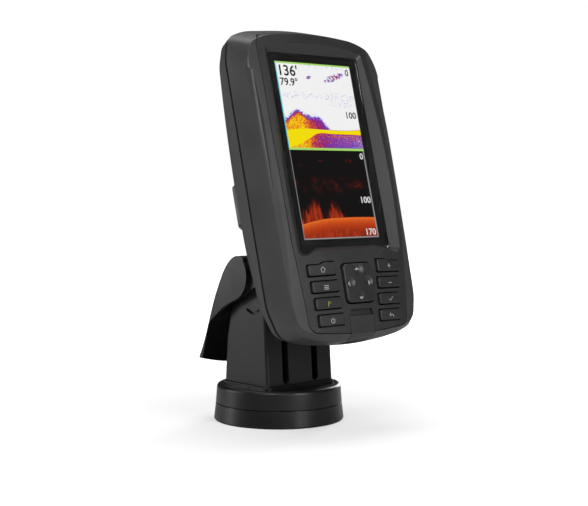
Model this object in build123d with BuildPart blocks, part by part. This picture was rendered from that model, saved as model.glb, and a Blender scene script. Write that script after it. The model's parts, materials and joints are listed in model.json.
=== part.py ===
from build123d import *
import os
from math import asin, cos, degrees, radians, sin

# A fish finder: a sealed display head on a tilt and swivel mount.
# Millimetres. The origin is the centre of the base's underside, +Z is up and the screen faces -Y.
# On the head, "up" runs up the tilted face from the screen's centre and "out" runs out of the screen.

os.makedirs("parts", exist_ok=True)

# ---- Mount: driving sizes ----
BASE_R = 35.8
BASE_TOP_R = 34.8
BASE_H = 9.3
RING_GAP = 0.5
TURNTABLE_TOP = 19.7
TURNTABLE_R = 34.2
TOWER_HALF_X = 23.6
TOWER_HALF_Y = 18.5
TOWER_TOP_Z = 60.0
MOUNT_WALL = 3.0
PIVOT_Y = 2.0
PIVOT_Z = 76.0
EAR_R = 7.6
BOLT_R = 2.8
SHAFT_PLAY = 0.05
WASHER_T = 0.4
CRADLE_EAR_T = 3.4
HOOD_CHEEK_T = 2.6
HOOD_WALL = 2.6
DECK_SCREW_R = 2.3
DECK_SCREW_PCD = 48.0

# ---- Head: driving sizes ----
REST_TILT = 14.4
HEAD_RISE = 58.5
HEAD_REACH = 56.3
HALF_WIDTH = 49.5
HEAD_TOP = 69.6
HEAD_BOTTOM = 102.2
HEAD_BACK = 36.2
FACE_HALF_WIDTH = 40.6
FACE_TOP = 63.6
FACE_BOTTOM = 98.4
CROWN_R = 300.0
CROWN_OUT = 8.8
DISPLAY_W = 54.0
DISPLAY_H = 95.0
GLASS_HALF_W = 32.0
GLASS_TOP = 51.6
GLASS_BOTTOM = 54.8
GLASS_OUT = 2.6
GLASS_T = 1.8
SHELL_WALL = 2.6
SEAM_GAP = 0.35
FRAME_BACK = -9.4
SEAL_T = 2.1
KEY_PITCH = 8.5
KEY_H = 5.4
KEY_STEP = 1.0
KEY_TRAVEL = 0.6
KEY_PROUD = 1.3
KEY_GAP = 0.65
KEY_FLANGE = KEY_GAP + 0.45
DOOR_HALF_W = 8.5

# ---- Placing planes ----
UP = Vector(0, sin(radians(REST_TILT)), cos(radians(REST_TILT)))
OUT = Vector(0, -cos(radians(REST_TILT)), sin(radians(REST_TILT)))
ACROSS = Vector(1, 0, 0)
SCREEN = Vector(0, PIVOT_Y, PIVOT_Z) + UP * HEAD_RISE + OUT * HEAD_REACH
HEAD = Plane(origin=SCREEN, x_dir=ACROSS, z_dir=OUT)
HEAD_SIDE = Plane(origin=SCREEN, x_dir=UP, z_dir=ACROSS)
HEAD_CROSS = Plane(origin=SCREEN, x_dir=ACROSS, z_dir=UP * -1)
SIDE = Plane.YZ


def head_yz(up, out):
    """The world (y, z) of a point on the head's middle plane."""
    point = SCREEN + UP * up + OUT * out
    return (point.Y, point.Z)


def mirrored(points):
    """A closed outline from its right half, whose end points lie on the middle line."""
    left = [(-across, up) for across, up in reversed(points[1:-1])]
    return points + left


def mirrored_radii(radii):
    return radii + list(reversed(radii[1:-1]))


def outline(points, radii):
    """A filled outline with rounded corners."""
    with BuildSketch(mode=Mode.PRIVATE) as shape:
        with BuildLine():
            Polyline(*points, close=True)
        make_face()
        for point, radius in zip(points, radii):
            corner = shape.vertices().sort_by_distance((*point, 0))[0]
            fillet(corner, radius)
    return shape.sketch


def save(builder, label):
    builder.part.label = label
    export_step(builder.part, f"parts/{label}.step")


# ---- Outlines of the head, right halves from the top middle to the bottom middle ----
BODY_RADII = [200, 40, 8, 25, 25, 10, 50, 180]
FACE_RADII = [220, 5, 5, 300, 150, 6, 200]
INSET_SPAN = 20.0


def body_half(side=0.0, top=0.0, bottom=0.0, corner=0.0):
    """The body outline with its sides, top and bottom drawn in, and its corners a little more."""
    return [
        (0, HEAD_TOP - top),
        (HALF_WIDTH - 13.5 - side - 0.5 * corner, HEAD_TOP - 3.2 - top),
        (HALF_WIDTH - 3.2 - side - corner, HEAD_TOP - 7.5 - top),
        (HALF_WIDTH - side - 0.2 * corner, HEAD_TOP - 19.6 - 0.6 * top),
        (HALF_WIDTH - side - 1.3 * corner, 22.2 - HEAD_BOTTOM),
        (HALF_WIDTH - 5.0 - side - 0.7 * corner, 6.9 - HEAD_BOTTOM + bottom),
        (HALF_WIDTH - 19.5 - 0.75 * side, 2.6 - HEAD_BOTTOM + bottom),
        (0, bottom - HEAD_BOTTOM),
    ]


def body_outline(side=0.0, top=0.0, bottom=0.0, corner=0.0):
    return outline(mirrored(body_half(side, top, bottom, corner)), mirrored_radii(BODY_RADII))


def body_inset(inset):
    """The body outline drawn in by the same amount on every side."""
    tighter = 1 - inset / INSET_SPAN
    radii = [radius * tighter for radius in BODY_RADII]
    return outline(mirrored(body_half(inset, inset, inset)), mirrored_radii(radii))


def face_outline(grow=0.0):
    """The face outline, grown evenly or, with a negative value, drawn in."""
    wide = FACE_HALF_WIDTH + grow
    high = FACE_TOP + grow
    low = FACE_BOTTOM + grow
    half = [
        (0, high),
        (wide - 6.1, high - 2.2),
        (wide - 1.8, high - 7.1),
        (wide, 5),
        (wide - 1.0, -48),
        (wide - 6.0, 3.2 - low),
        (0, -low),
    ]
    return outline(mirrored(half), mirrored_radii(FACE_RADII))


GLASS_STEP_UP = 2.8
GLASS_RADII = [1.5, 2.5, 3.0, 3.0]
BEVEL_RADII = [3.0, 4.5, 3.0, 3.0]
BEVEL_MOVES = [(5.6, 6.5), (5.6, -2.2), (5.0, -2.2), (4.0, -2.2)]


def glass_corners(grow=0.0):
    """The right half of the window: square at the top, with a shallow step in its lower edge."""
    wide = GLASS_HALF_W + grow
    low = -GLASS_BOTTOM - grow
    return [(wide, GLASS_TOP + grow), (wide, low), (wide - 4.5, low), (wide - 11.0, low + GLASS_STEP_UP)]


def window_outline(corners, radii):
    left = [(-across, up) for across, up in reversed(corners)]
    return outline(corners + left, radii + list(reversed(radii)))


def bevel_outline(share):
    """The window outline moved towards the bevel's crest by a share of the bevel's width."""
    moved = [(a + da * share, b + db * share) for (a, b), (da, db) in zip(glass_corners(), BEVEL_MOVES)]
    return window_outline(moved, BEVEL_RADII if share else GLASS_RADII)


# ---- The head's front form ----
CROWN_LOW = -20.0
CROWN_SWEEP = degrees(asin((HALF_WIDTH + 6) / CROWN_R))
CROWN_LINE = Axis(SCREEN + OUT * (CROWN_OUT - CROWN_R), UP)


def crowned_block(raised=0.0):
    """A slab whose front is the face's double curve, raised by a given amount."""
    first = ACROSS.rotate(Axis((0, 0, 0), UP), -CROWN_SWEEP)
    start = Plane(origin=CROWN_LINE.position, x_dir=UP, z_dir=first)
    top = CROWN_R + raised
    low = CROWN_R - CROWN_OUT + CROWN_LOW
    with BuildPart(mode=Mode.PRIVATE) as block:
        with BuildSketch(start):
            with BuildLine():
                ThreePointArc((72, top - 4.6), (-15, top), (-108, top - 5.2))
                Polyline((-108, top - 5.2), (-108, low), (72, low), (72, top - 4.6))
            make_face()
        revolve(axis=CROWN_LINE, revolution_arc=2 * CROWN_SWEEP)
    return block.part


FRONT_STEPS = [
    (FRAME_BACK, (0, 0, 0, 0)),
    (0, (2.0, 4.2, 0.4, 1.9)),
    (2.6, (2.6, 5.4, 2.2, 2.2)),
    (7.0, (6.0, 7.4, 5.0, 2.4)),
]


def front_form():
    """The head's outside from the seal forward: drafted sides, chamfered edges and crowned front."""
    with BuildPart(mode=Mode.PRIVATE) as form:
        for (back, back_insets), (front, front_insets) in zip(FRONT_STEPS, FRONT_STEPS[1:]):
            with BuildSketch(HEAD.offset(back)):
                add(body_outline(*back_insets))
            with BuildSketch(HEAD.offset(front)):
                add(body_outline(*front_insets))
            loft(ruled=True)
        add(crowned_block(), mode=Mode.INTERSECT)
    return form.part


FRONT_FORM = front_form()

# ---- Side bands: a flat facet with a ledge, let into each long edge of the frame ----
BAND_TOP = 45.0
BAND_BOTTOM = -57.0
BAND_SLANT = 7.0
BAND_HALF_W = HALF_WIDTH - 2.0


def band_cut():
    with BuildPart(mode=Mode.PRIVATE) as cut:
        with BuildSketch(HEAD_CROSS.offset(-BAND_TOP - 5)):
            with BuildLine():
                Polyline(
                    (BAND_HALF_W, -0.4),
                    (BAND_HALF_W - 2.0, 3.2),
                    (BAND_HALF_W - 3.2, 3.5),
                    (BAND_HALF_W - 3.9, 5.4),
                    (BAND_HALF_W - 3.9, 12),
                    (HALF_WIDTH + 3, 12),
                    (HALF_WIDTH + 3, -0.4),
                    close=True,
                )
            make_face()
        extrude(amount=BAND_TOP - BAND_BOTTOM + 10)
        with BuildSketch(HEAD_SIDE):
            with BuildLine():
                Polyline(
                    (BAND_TOP + 1, -1),
                    (BAND_TOP - 2 * BAND_SLANT, 13),
                    (BAND_BOTTOM + 2 * BAND_SLANT, 13),
                    (BAND_BOTTOM - 1, -1),
                    close=True,
                )
            make_face()
        extrude(amount=HALF_WIDTH + 5, mode=Mode.INTERSECT)
    return cut.part


# ---- Keypad layout ----
KEY_ROW_TOP = -64.2
KEY_INNER = 14.9
KEY_OUTER = 32.4
KEY_BASE = 0.3
KEY_FLANGE_T = 1.0
POCKET_OUT = 1.4
POCKET_TOP = -57.5
POCKET_BOTTOM = KEY_ROW_TOP - 3 * KEY_PITCH - KEY_H / 2 - 1.4
DPAD_TOP = -62.0
DPAD_BOTTOM = -82.0
DPAD_TOP_HALF = 10.3
DPAD_LOW_HALF = 9.4
DPAD_FALL = 2.2


def key_outline(row, side, grow=0.0):
    """A key's outline. Keys narrow down the head, and the top row has a raised inner half."""
    middle = KEY_ROW_TOP - row * KEY_PITCH
    inner = side * (KEY_INNER - 0.65 * row - grow)
    outer = side * (KEY_OUTER - 1.1 * row + grow)
    low = middle - KEY_H / 2 - grow
    high = middle + KEY_H / 2 + grow
    if row:
        return outline([(inner, low), (outer, low), (outer, high), (inner, high)], [1.2] * 4)
    points = [
        (inner, low),
        (outer, low),
        (outer, high),
        (side * (KEY_INNER + 9.5), high),
        (side * (KEY_INNER + 7.0), high + KEY_STEP),
        (inner, high + KEY_STEP),
    ]
    return outline(points, [1.2, 1.2, 1.2, 1.5, 1.5, 1.2])


def dpad_outline(grow=0.0):
    points = [
        (-DPAD_TOP_HALF - grow, DPAD_TOP + grow),
        (DPAD_TOP_HALF + grow, DPAD_TOP + grow),
        (DPAD_LOW_HALF + grow, DPAD_BOTTOM - grow),
        (-DPAD_LOW_HALF - grow, DPAD_BOTTOM - grow),
    ]
    return outline(points, [3.0] * 4)


# ---- Card door layout ----
DOOR_TOP = -88.6
DOOR_NOTCH_TOP = -86.2
DOOR_PIN_UP = -98.4
DOOR_PIN_OUT = 1.3
DOOR_SWING_R = 4.9
DOOR_PIN_R = 0.6
DOOR_BARREL_R = 1.5
DOOR_GAP = 0.3



def door_opening(grow=DOOR_GAP):
    """The door's rectangle, run out past the head's lower edge."""
    high = DOOR_TOP + grow
    low = -HEAD_BOTTOM - 3
    with BuildSketch(mode=Mode.PRIVATE) as shape:
        with Locations((0, (high + low) / 2)):
            Rectangle(2 * (DOOR_HALF_W + grow), high - low)
    return shape.sketch


# ---- Screws ----
SCREW_IN = 6.1
SCREW_IN_LOW = 9.0
HOUSING_SCREWS = [
    (side * (HALF_WIDTH - inward), up)
    for inward, up in ((SCREW_IN, 49), (SCREW_IN, -22), (SCREW_IN_LOW, -87))
    for side in (-1, 1)
]
SCREW_POST_R = 3.8
HOUSING_SCREW_R = 1.5
SCREW_SEAT = -14.6
BOARD_SCREWS = [(-33.0, 40), (33.0, 40), (-33.0, -54), (33.0, -54)]
BOARD_SCREW_R = 1.2
BOSS_R = 2.8
BOARD_FRONT = -9.0
BOARD_T = 1.6
BEZEL_BACK = -5.0
OPENING_HALF_W = DISPLAY_W / 2 + 3.0
OPENING_HALF_H = DISPLAY_H / 2 + 2.7

# ---- Front bezel: crowned face with the window, key and door openings ----
with BuildPart() as front_bezel:
    with BuildSketch(HEAD.offset(BEZEL_BACK)):
        add(face_outline(-SEAM_GAP / 2))
    extrude(amount=CROWN_OUT - BEZEL_BACK + 2)
    add(FRONT_FORM, mode=Mode.INTERSECT)
    with BuildSketch(HEAD.offset(GLASS_OUT)):
        add(bevel_outline(0))
    with BuildSketch(HEAD.offset(GLASS_OUT + 7)):
        add(bevel_outline(1.8))
    loft(mode=Mode.SUBTRACT)
    with BuildSketch(HEAD.offset(GLASS_OUT - GLASS_T - 0.3)):
        add(window_outline(glass_corners(), GLASS_RADII))
    extrude(amount=GLASS_T + 0.35, mode=Mode.SUBTRACT)
    with BuildSketch(HEAD.offset(BEZEL_BACK - 1)):
        Rectangle(2 * OPENING_HALF_W, 2 * OPENING_HALF_H)
    extrude(amount=-BEZEL_BACK + GLASS_OUT, mode=Mode.SUBTRACT)
    with BuildSketch(HEAD.offset(BEZEL_BACK)):
        with Locations((0, (POCKET_TOP + POCKET_BOTTOM) / 2)):
            Rectangle(2 * KEY_OUTER + 4, POCKET_TOP - POCKET_BOTTOM)
    extrude(amount=POCKET_OUT - BEZEL_BACK, mode=Mode.SUBTRACT)
    with BuildSketch(HEAD.offset(BEZEL_BACK)):
        for row in range(4):
            for side in (-1, 1):
                add(key_outline(row, side, KEY_GAP))
        add(dpad_outline(KEY_GAP + 0.1))
    extrude(amount=20, mode=Mode.SUBTRACT)
    with BuildSketch(HEAD.offset(CROWN_OUT - 4.9)):
        with Locations((0, (DOOR_NOTCH_TOP + DOOR_TOP) / 2)):
            RectangleRounded(2 * DOOR_HALF_W - 1, DOOR_NOTCH_TOP - DOOR_TOP + 1.5, 0.8)
    extrude(amount=6, mode=Mode.SUBTRACT)
    with BuildSketch(HEAD.offset(BEZEL_BACK)):
        add(door_opening())
    extrude(amount=20, mode=Mode.SUBTRACT)
    with BuildSketch(HEAD_SIDE):
        with Locations((DOOR_PIN_UP, DOOR_PIN_OUT)):
            Circle(DOOR_PIN_R)
    extrude(amount=DOOR_HALF_W + 3, both=True, mode=Mode.SUBTRACT)
    with BuildSketch(HEAD.offset(BEZEL_BACK)):
        with Locations(*BOARD_SCREWS):
            Circle(BOSS_R)
    extrude(amount=BOARD_FRONT - BEZEL_BACK)
    with BuildSketch(HEAD.offset(BOARD_FRONT)):
        with Locations(*BOARD_SCREWS):
            Circle(BOARD_SCREW_R)
    extrude(amount=6.5, mode=Mode.SUBTRACT)
save(front_bezel, "front_bezel")

# ---- Side frame: the ring round the face, with the side bands ----
with BuildPart() as side_frame:
    add(FRONT_FORM)
    band = band_cut()
    add(band, mode=Mode.SUBTRACT)
    add(band.mirror(Plane.YZ), mode=Mode.SUBTRACT)
    with BuildSketch(HEAD.offset(BEZEL_BACK)):
        add(face_outline(SEAM_GAP / 2))
    extrude(amount=20, mode=Mode.SUBTRACT)
    with BuildSketch(HEAD.offset(BEZEL_BACK - 2)):
        add(face_outline(-2.2))
    extrude(amount=10, mode=Mode.SUBTRACT)
    with BuildSketch(HEAD.offset(FRAME_BACK - 1)):
        add(body_inset(SHELL_WALL + 0.5))
    extrude(amount=BEZEL_BACK - 2 - FRAME_BACK + 1, mode=Mode.SUBTRACT)
    with BuildSketch(HEAD.offset(BEZEL_BACK - 2)):
        add(door_opening())
    extrude(amount=20, mode=Mode.SUBTRACT)
    with BuildSketch(HEAD_SIDE):
        with Locations((DOOR_PIN_UP, DOOR_PIN_OUT)):
            Circle(DOOR_SWING_R)
    extrude(amount=DOOR_HALF_W + DOOR_GAP, both=True, mode=Mode.SUBTRACT)
    with BuildSketch(HEAD_SIDE):
        with Locations((DOOR_PIN_UP, DOOR_PIN_OUT)):
            Circle(DOOR_PIN_R)
    extrude(amount=DOOR_HALF_W + 3, both=True, mode=Mode.SUBTRACT)
    with BuildSketch(HEAD.offset(BEZEL_BACK - 2)):
        with Locations(*HOUSING_SCREWS):
            Circle(HOUSING_SCREW_R)
    extrude(amount=6, mode=Mode.SUBTRACT)
save(side_frame, "side_frame")

# ---- Seal between the frame and the rear cover ----
SEAL_BACK = FRAME_BACK - SEAL_T
with BuildPart() as housing_seal:
    with BuildSketch(HEAD.offset(SEAL_BACK)):
        add(body_inset(1.0))
        add(body_inset(SHELL_WALL + 0.8), mode=Mode.SUBTRACT)
    extrude(amount=SEAL_T)
save(housing_seal, "housing_seal")

# ---- Rear cover: a tapered tub with the slide-on block and the connector boss ----
COVER_DEEP = 12.0
COVER_DRAFT = 2.6
BLOCK_HALF = 25.0
BLOCK_TOP = -2.0
BLOCK_BOTTOM = -60.0
GROOVE_DEEP = 2.2
GROOVE_OUT = -29.4
GROOVE_BACK = -32.6
SOCKET_UP = -80.0
SOCKET_R = 9.0
SOCKET_BACK = -24.0
BUMP_R = 11.2


with BuildPart(mode=Mode.PRIVATE) as cover_hollow:
    with BuildSketch(HEAD.offset(SEAL_BACK)):
        add(body_inset(0.4 + COVER_DRAFT + SHELL_WALL))
    extrude(amount=-COVER_DEEP)
    with BuildSketch(HEAD_SIDE):
        with BuildLine():
            Polyline(
                (HEAD_TOP - 13, SEAL_BACK + 1),
                (HEAD_TOP - 13, SHELL_WALL - 17.4),
                (38, SHELL_WALL - 19.9),
                (0, SHELL_WALL - 21.6),
                (-50, SHELL_WALL - 21.2),
                (-80, SHELL_WALL - 16.0),
                (9 - HEAD_BOTTOM, SHELL_WALL - 14.8),
                (9 - HEAD_BOTTOM, SEAL_BACK + 1),
                close=True,
            )
        make_face()
    extrude(amount=HALF_WIDTH + 5, both=True, mode=Mode.INTERSECT)
    with BuildSketch(HEAD.offset(SHELL_WALL - HEAD_BACK)):
        with Locations((0, (BLOCK_TOP + BLOCK_BOTTOM) / 2)):
            Rectangle(2 * (BLOCK_HALF - GROOVE_DEEP - SHELL_WALL), BLOCK_TOP - BLOCK_BOTTOM - 2 * SHELL_WALL)
    extrude(amount=HEAD_BACK + SEAL_BACK - SHELL_WALL)
    with BuildSketch(HEAD.offset(-HEAD_BACK)):
        with Locations(*HOUSING_SCREWS):
            Circle(SCREW_POST_R)
    extrude(amount=HEAD_BACK, mode=Mode.SUBTRACT)

with BuildPart() as rear_cover:
    with BuildSketch(HEAD.offset(SEAL_BACK)):
        add(body_inset(0.4))
    with BuildSketch(HEAD.offset(SEAL_BACK - COVER_DEEP)):
        add(body_inset(0.4 + COVER_DRAFT))
    loft(ruled=True)
    with BuildSketch(HEAD_SIDE):
        with BuildLine():
            Polyline((72, 0), (72, -12.5), (61.5, -16.5))
            ThreePointArc((61.5, -16.5), (8, -22), (-50, -21.7))
            Polyline((-50, -21.7), (-80, -16.2), (-104, -13.6), (-104, 0), (72, 0))
        make_face()
    extrude(amount=HALF_WIDTH + 5, both=True, mode=Mode.INTERSECT)
    with BuildSketch(HEAD.offset(-HEAD_BACK)):
        with Locations((0, (BLOCK_TOP + BLOCK_BOTTOM) / 2)):
            RectangleRounded(2 * BLOCK_HALF, BLOCK_TOP - BLOCK_BOTTOM, 2)
    extrude(amount=HEAD_BACK - 18)
    with BuildSketch(HEAD.offset(SOCKET_BACK)):
        with Locations((0, SOCKET_UP)):
            Circle(BUMP_R)
    extrude(amount=-SOCKET_BACK - 13)
    add(cover_hollow.part, mode=Mode.SUBTRACT)
    with BuildSketch(HEAD.offset(GROOVE_BACK)):
        for side in (-1, 1):
            with Locations((side * (BLOCK_HALF - GROOVE_DEEP / 2), BLOCK_BOTTOM + 26)):
                Rectangle(GROOVE_DEEP, 54)
    extrude(amount=GROOVE_OUT - GROOVE_BACK, mode=Mode.SUBTRACT)
    with BuildSketch(HEAD.offset(SOCKET_BACK)):
        with Locations((0, SOCKET_UP)):
            Circle(SOCKET_R)
    extrude(amount=20, mode=Mode.SUBTRACT)
    with BuildSketch(HEAD.offset(-HEAD_BACK)):
        with Locations(*HOUSING_SCREWS):
            Circle(HOUSING_SCREW_R)
    extrude(amount=HEAD_BACK + SEAL_BACK + 1, mode=Mode.SUBTRACT)
    with BuildSketch(HEAD.offset(SCREW_SEAT)):
        with Locations(*HOUSING_SCREWS):
            Circle(HOUSING_SCREW_R + 1.2)
    extrude(amount=-20, mode=Mode.SUBTRACT)
save(rear_cover, "rear_cover")

with BuildPart() as housing_screws:
    with BuildSketch(HEAD.offset(SCREW_SEAT)):
        with Locations(*HOUSING_SCREWS):
            Circle(HOUSING_SCREW_R)
    extrude(amount=BEZEL_BACK + 3 - SCREW_SEAT)
    with BuildSketch(HEAD.offset(SCREW_SEAT)):
        with Locations(*HOUSING_SCREWS):
            Circle(HOUSING_SCREW_R + 1.05)
    extrude(amount=-1.7)
    with BuildSketch(HEAD.offset(SCREW_SEAT - 1.7)):
        with Locations(*HOUSING_SCREWS):
            RegularPolygon(1.2, 6)
    extrude(amount=1.1, mode=Mode.SUBTRACT)
save(housing_screws, "housing_screws")

# ---- Display stack ----
with BuildPart() as window_glass:
    with BuildSketch(HEAD.offset(GLASS_OUT - GLASS_T)):
        add(window_outline(glass_corners(-0.1), GLASS_RADII))
    extrude(amount=GLASS_T)
save(window_glass, "window_glass")

with BuildPart() as glass_tape:
    with BuildSketch(HEAD.offset(GLASS_OUT - GLASS_T - 0.3)):
        add(window_outline(glass_corners(-0.3), GLASS_RADII))
        Rectangle(2 * OPENING_HALF_W, 2 * OPENING_HALF_H, mode=Mode.SUBTRACT)
    extrude(amount=0.3)
save(glass_tape, "glass_tape")

PANEL_W = DISPLAY_W + 3.6
PANEL_H = DISPLAY_H + 3.6
PANEL_T = 2.0
LIGHT_T = 2.8
BRACKET_T = 0.8
with BuildPart() as lcd_panel:
    with BuildSketch(HEAD):
        Rectangle(PANEL_W, PANEL_H)
    extrude(amount=-PANEL_T)
save(lcd_panel, "lcd_panel")

with BuildPart() as backlight:
    with BuildSketch(HEAD.offset(-PANEL_T)):
        Rectangle(PANEL_W, PANEL_H)
    extrude(amount=-LIGHT_T)
save(backlight, "backlight")

with BuildPart() as lcd_bracket:
    with BuildSketch(HEAD.offset(-PANEL_T - LIGHT_T - BRACKET_T)):
        Rectangle(PANEL_W + 2 * BRACKET_T + 0.2, PANEL_H + 2 * BRACKET_T)
    extrude(amount=PANEL_T + LIGHT_T + BRACKET_T - 0.4)
    with BuildSketch(HEAD.offset(-PANEL_T - LIGHT_T)):
        Rectangle(PANEL_W, PANEL_H)
    extrude(amount=PANEL_T + LIGHT_T, mode=Mode.SUBTRACT)
    with BuildSketch(HEAD.offset(-PANEL_T - LIGHT_T)):
        with GridLocations(0, PANEL_H / 3, 1, 3):
            RectangleRounded(PANEL_W * 0.7, PANEL_H * 0.2, 3)
    extrude(amount=-BRACKET_T, mode=Mode.SUBTRACT)
save(lcd_bracket, "lcd_bracket")

# ---- Boards ----
BOARD_BACK = BOARD_FRONT - BOARD_T
with BuildPart() as main_board:
    with BuildSketch(HEAD.offset(BOARD_BACK)):
        add(body_inset(8.6))
        with Locations(*HOUSING_SCREWS):
            Circle(SCREW_POST_R + 0.6, mode=Mode.SUBTRACT)
        with Locations(*BOARD_SCREWS):
            Circle(BOARD_SCREW_R, mode=Mode.SUBTRACT)
    extrude(amount=BOARD_T)
save(main_board, "main_board")

with BuildPart() as board_screws:
    with BuildSketch(HEAD.offset(BOARD_BACK)):
        with Locations(*BOARD_SCREWS):
            Circle(BOARD_SCREW_R)
    extrude(amount=BOARD_T + 5)
    with BuildSketch(HEAD.offset(BOARD_BACK)):
        with Locations(*BOARD_SCREWS):
            Circle(BOARD_SCREW_R + 1.2)
    extrude(amount=-1.3)
save(board_screws, "board_screws")

with BuildPart() as shield_can:
    with BuildSketch(HEAD.offset(BOARD_BACK)):
        with Locations((0, -25)):
            RectangleRounded(38, 44, 1)
    extrude(amount=-3.0)
save(shield_can, "shield_can")

with BuildPart() as gps_antenna:
    with BuildSketch(HEAD.offset(BOARD_BACK)):
        with Locations((0, 44)):
            Rectangle(18, 18)
    extrude(amount=-4.0)
save(gps_antenna, "gps_antenna")

with BuildPart() as buzzer:
    with BuildSketch(HEAD.offset(BOARD_BACK)):
        with Locations((26, 12)):
            Circle(6)
    extrude(amount=-4.0)
    with BuildSketch(HEAD.offset(BOARD_BACK - 4.0)):
        with Locations((26, 12)):
            Circle(1)
    extrude(amount=1.0, mode=Mode.SUBTRACT)
save(buzzer, "buzzer")

# ---- Keypad stack ----
MAT_FRONT = -0.5
MAT_T = 1.2
KEY_BOARD_T = 1.4
with BuildPart() as keypad_mat:
    with BuildSketch(HEAD.offset(MAT_FRONT - MAT_T)):
        with Locations((0, (DPAD_TOP + DPAD_BOTTOM) / 2 - 2.5)):
            Rectangle(2 * KEY_OUTER + 3, 33)
        with Locations((0, DOOR_TOP)):
            Rectangle(2 * DOOR_HALF_W + 1, 7.5, mode=Mode.SUBTRACT)
    extrude(amount=MAT_T)
save(keypad_mat, "keypad_mat")

with BuildPart() as key_board:
    with BuildSketch(HEAD.offset(MAT_FRONT - MAT_T - KEY_BOARD_T)):
        with Locations((0, (DPAD_TOP + DPAD_BOTTOM) / 2 - 2.5)):
            Rectangle(2 * KEY_OUTER + 3, 33)
        with Locations((0, DOOR_TOP)):
            Rectangle(2 * DOOR_HALF_W + 1, 7.5, mode=Mode.SUBTRACT)
    extrude(amount=KEY_BOARD_T)
save(key_board, "key_board")

with BuildPart() as board_link:
    with BuildSketch(HEAD.offset(BOARD_FRONT)):
        with Locations((0, -66)):
            Rectangle(22, 5)
    extrude(amount=MAT_FRONT - MAT_T - KEY_BOARD_T - BOARD_FRONT)
save(board_link, "board_link")

# ---- Keys: each cap has a flange that holds it behind the bezel ----
KEY_NAMES = {
    (0, -1): "key_home",
    (1, -1): "key_menu",
    (2, -1): "key_mark",
    (3, -1): "key_power",
    (0, 1): "key_zoom_in",
    (1, 1): "key_zoom_out",
    (2, 1): "key_select",
    (3, 1): "key_back",
}
KEY_TOP_FORM = crowned_block(KEY_PROUD)


def make_key(row, side):
    with BuildPart() as key:
        with BuildSketch(HEAD.offset(KEY_BASE)):
            add(key_outline(row, side))
        extrude(amount=12)
        add(KEY_TOP_FORM, mode=Mode.INTERSECT)
        rim = key.faces().sort_by(Axis(SCREEN, OUT))[-1].edges()
        fillet(rim, 0.5)
        with BuildSketch(HEAD.offset(KEY_BASE)):
            add(key_outline(row, side, KEY_FLANGE))
        extrude(amount=KEY_FLANGE_T)
    return key


for (row, side), name in KEY_NAMES.items():
    save(make_key(row, side), name)

DPAD_MIDDLE = (DPAD_TOP + DPAD_BOTTOM) / 2
with BuildPart() as dpad:
    with BuildSketch(HEAD.offset(0.1)):
        add(dpad_outline())
    extrude(amount=12)
    add(KEY_TOP_FORM, mode=Mode.INTERSECT)
    fillet(dpad.faces().sort_by(Axis(SCREEN, OUT))[-1].edges(), 0.7)
    with BuildSketch(HEAD.offset(0.1)):
        add(dpad_outline(KEY_FLANGE))
    extrude(amount=0.8)
    top_out = CROWN_OUT + KEY_PROUD - DPAD_FALL
    dish = 7.0
    for across, up in ((0, 6.8), (0, -6.8), (6.6, 0), (-6.6, 0)):
        with Locations(HEAD.offset(top_out + dish - 0.5) * Pos(across, DPAD_MIDDLE + up)):
            Sphere(dish, mode=Mode.SUBTRACT)
save(dpad, "dpad")

with BuildPart() as dpad_pivot:
    with BuildSketch(HEAD.offset(MAT_FRONT + 0.05)):
        with Locations((0, DPAD_MIDDLE)):
            Circle(1.6)
    extrude(amount=0.1 - MAT_FRONT - 0.1)
save(dpad_pivot, "dpad_pivot")

# ---- Card door, its pin and the reader behind it ----
DOOR_T = 2.0
with BuildPart() as card_door:
    with BuildSketch(HEAD.offset(-0.4)):
        add(door_opening(0))
    extrude(amount=12)
    add(FRONT_FORM, mode=Mode.INTERSECT)
    with BuildSketch(HEAD_SIDE):
        with BuildLine():
            Polyline(
                (DOOR_TOP + 1, CROWN_OUT - 3.8 - DOOR_T),
                (DOOR_PIN_UP + 1.5, CROWN_OUT - 4.4 - DOOR_T),
                (DOOR_PIN_UP - 1.9, -0.4),
                (DOOR_PIN_UP - 1.9, -1),
                (DOOR_TOP + 1, -1),
                close=True,
            )
        make_face()
    extrude(amount=DOOR_HALF_W + 1, both=True, mode=Mode.SUBTRACT)
    with BuildSketch(HEAD_SIDE):
        with Locations((DOOR_PIN_UP, DOOR_PIN_OUT)):
            Circle(DOOR_BARREL_R)
    extrude(amount=DOOR_HALF_W, both=True)
    with BuildSketch(HEAD_SIDE):
        with Locations((DOOR_PIN_UP, DOOR_PIN_OUT)):
            Circle(DOOR_PIN_R + SHAFT_PLAY)
    extrude(amount=DOOR_HALF_W + 1, both=True, mode=Mode.SUBTRACT)
save(card_door, "card_door")

with BuildPart() as door_pin:
    with BuildSketch(HEAD_SIDE):
        with Locations((DOOR_PIN_UP, DOOR_PIN_OUT)):
            Circle(DOOR_PIN_R)
    extrude(amount=DOOR_HALF_W + 2.8, both=True)
save(door_pin, "door_pin")

READER_UP = -91.0
with BuildPart() as card_reader:
    with BuildSketch(HEAD.offset(BOARD_FRONT)):
        with Locations((0, READER_UP)):
            Rectangle(14.4, 3.4)
    extrude(amount=7.6)
    with BuildSketch(HEAD.offset(BOARD_FRONT + 1.2)):
        with Locations((0, READER_UP)):
            Rectangle(11.4, 1.3)
    extrude(amount=8, mode=Mode.SUBTRACT)
save(card_reader, "card_reader")

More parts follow.
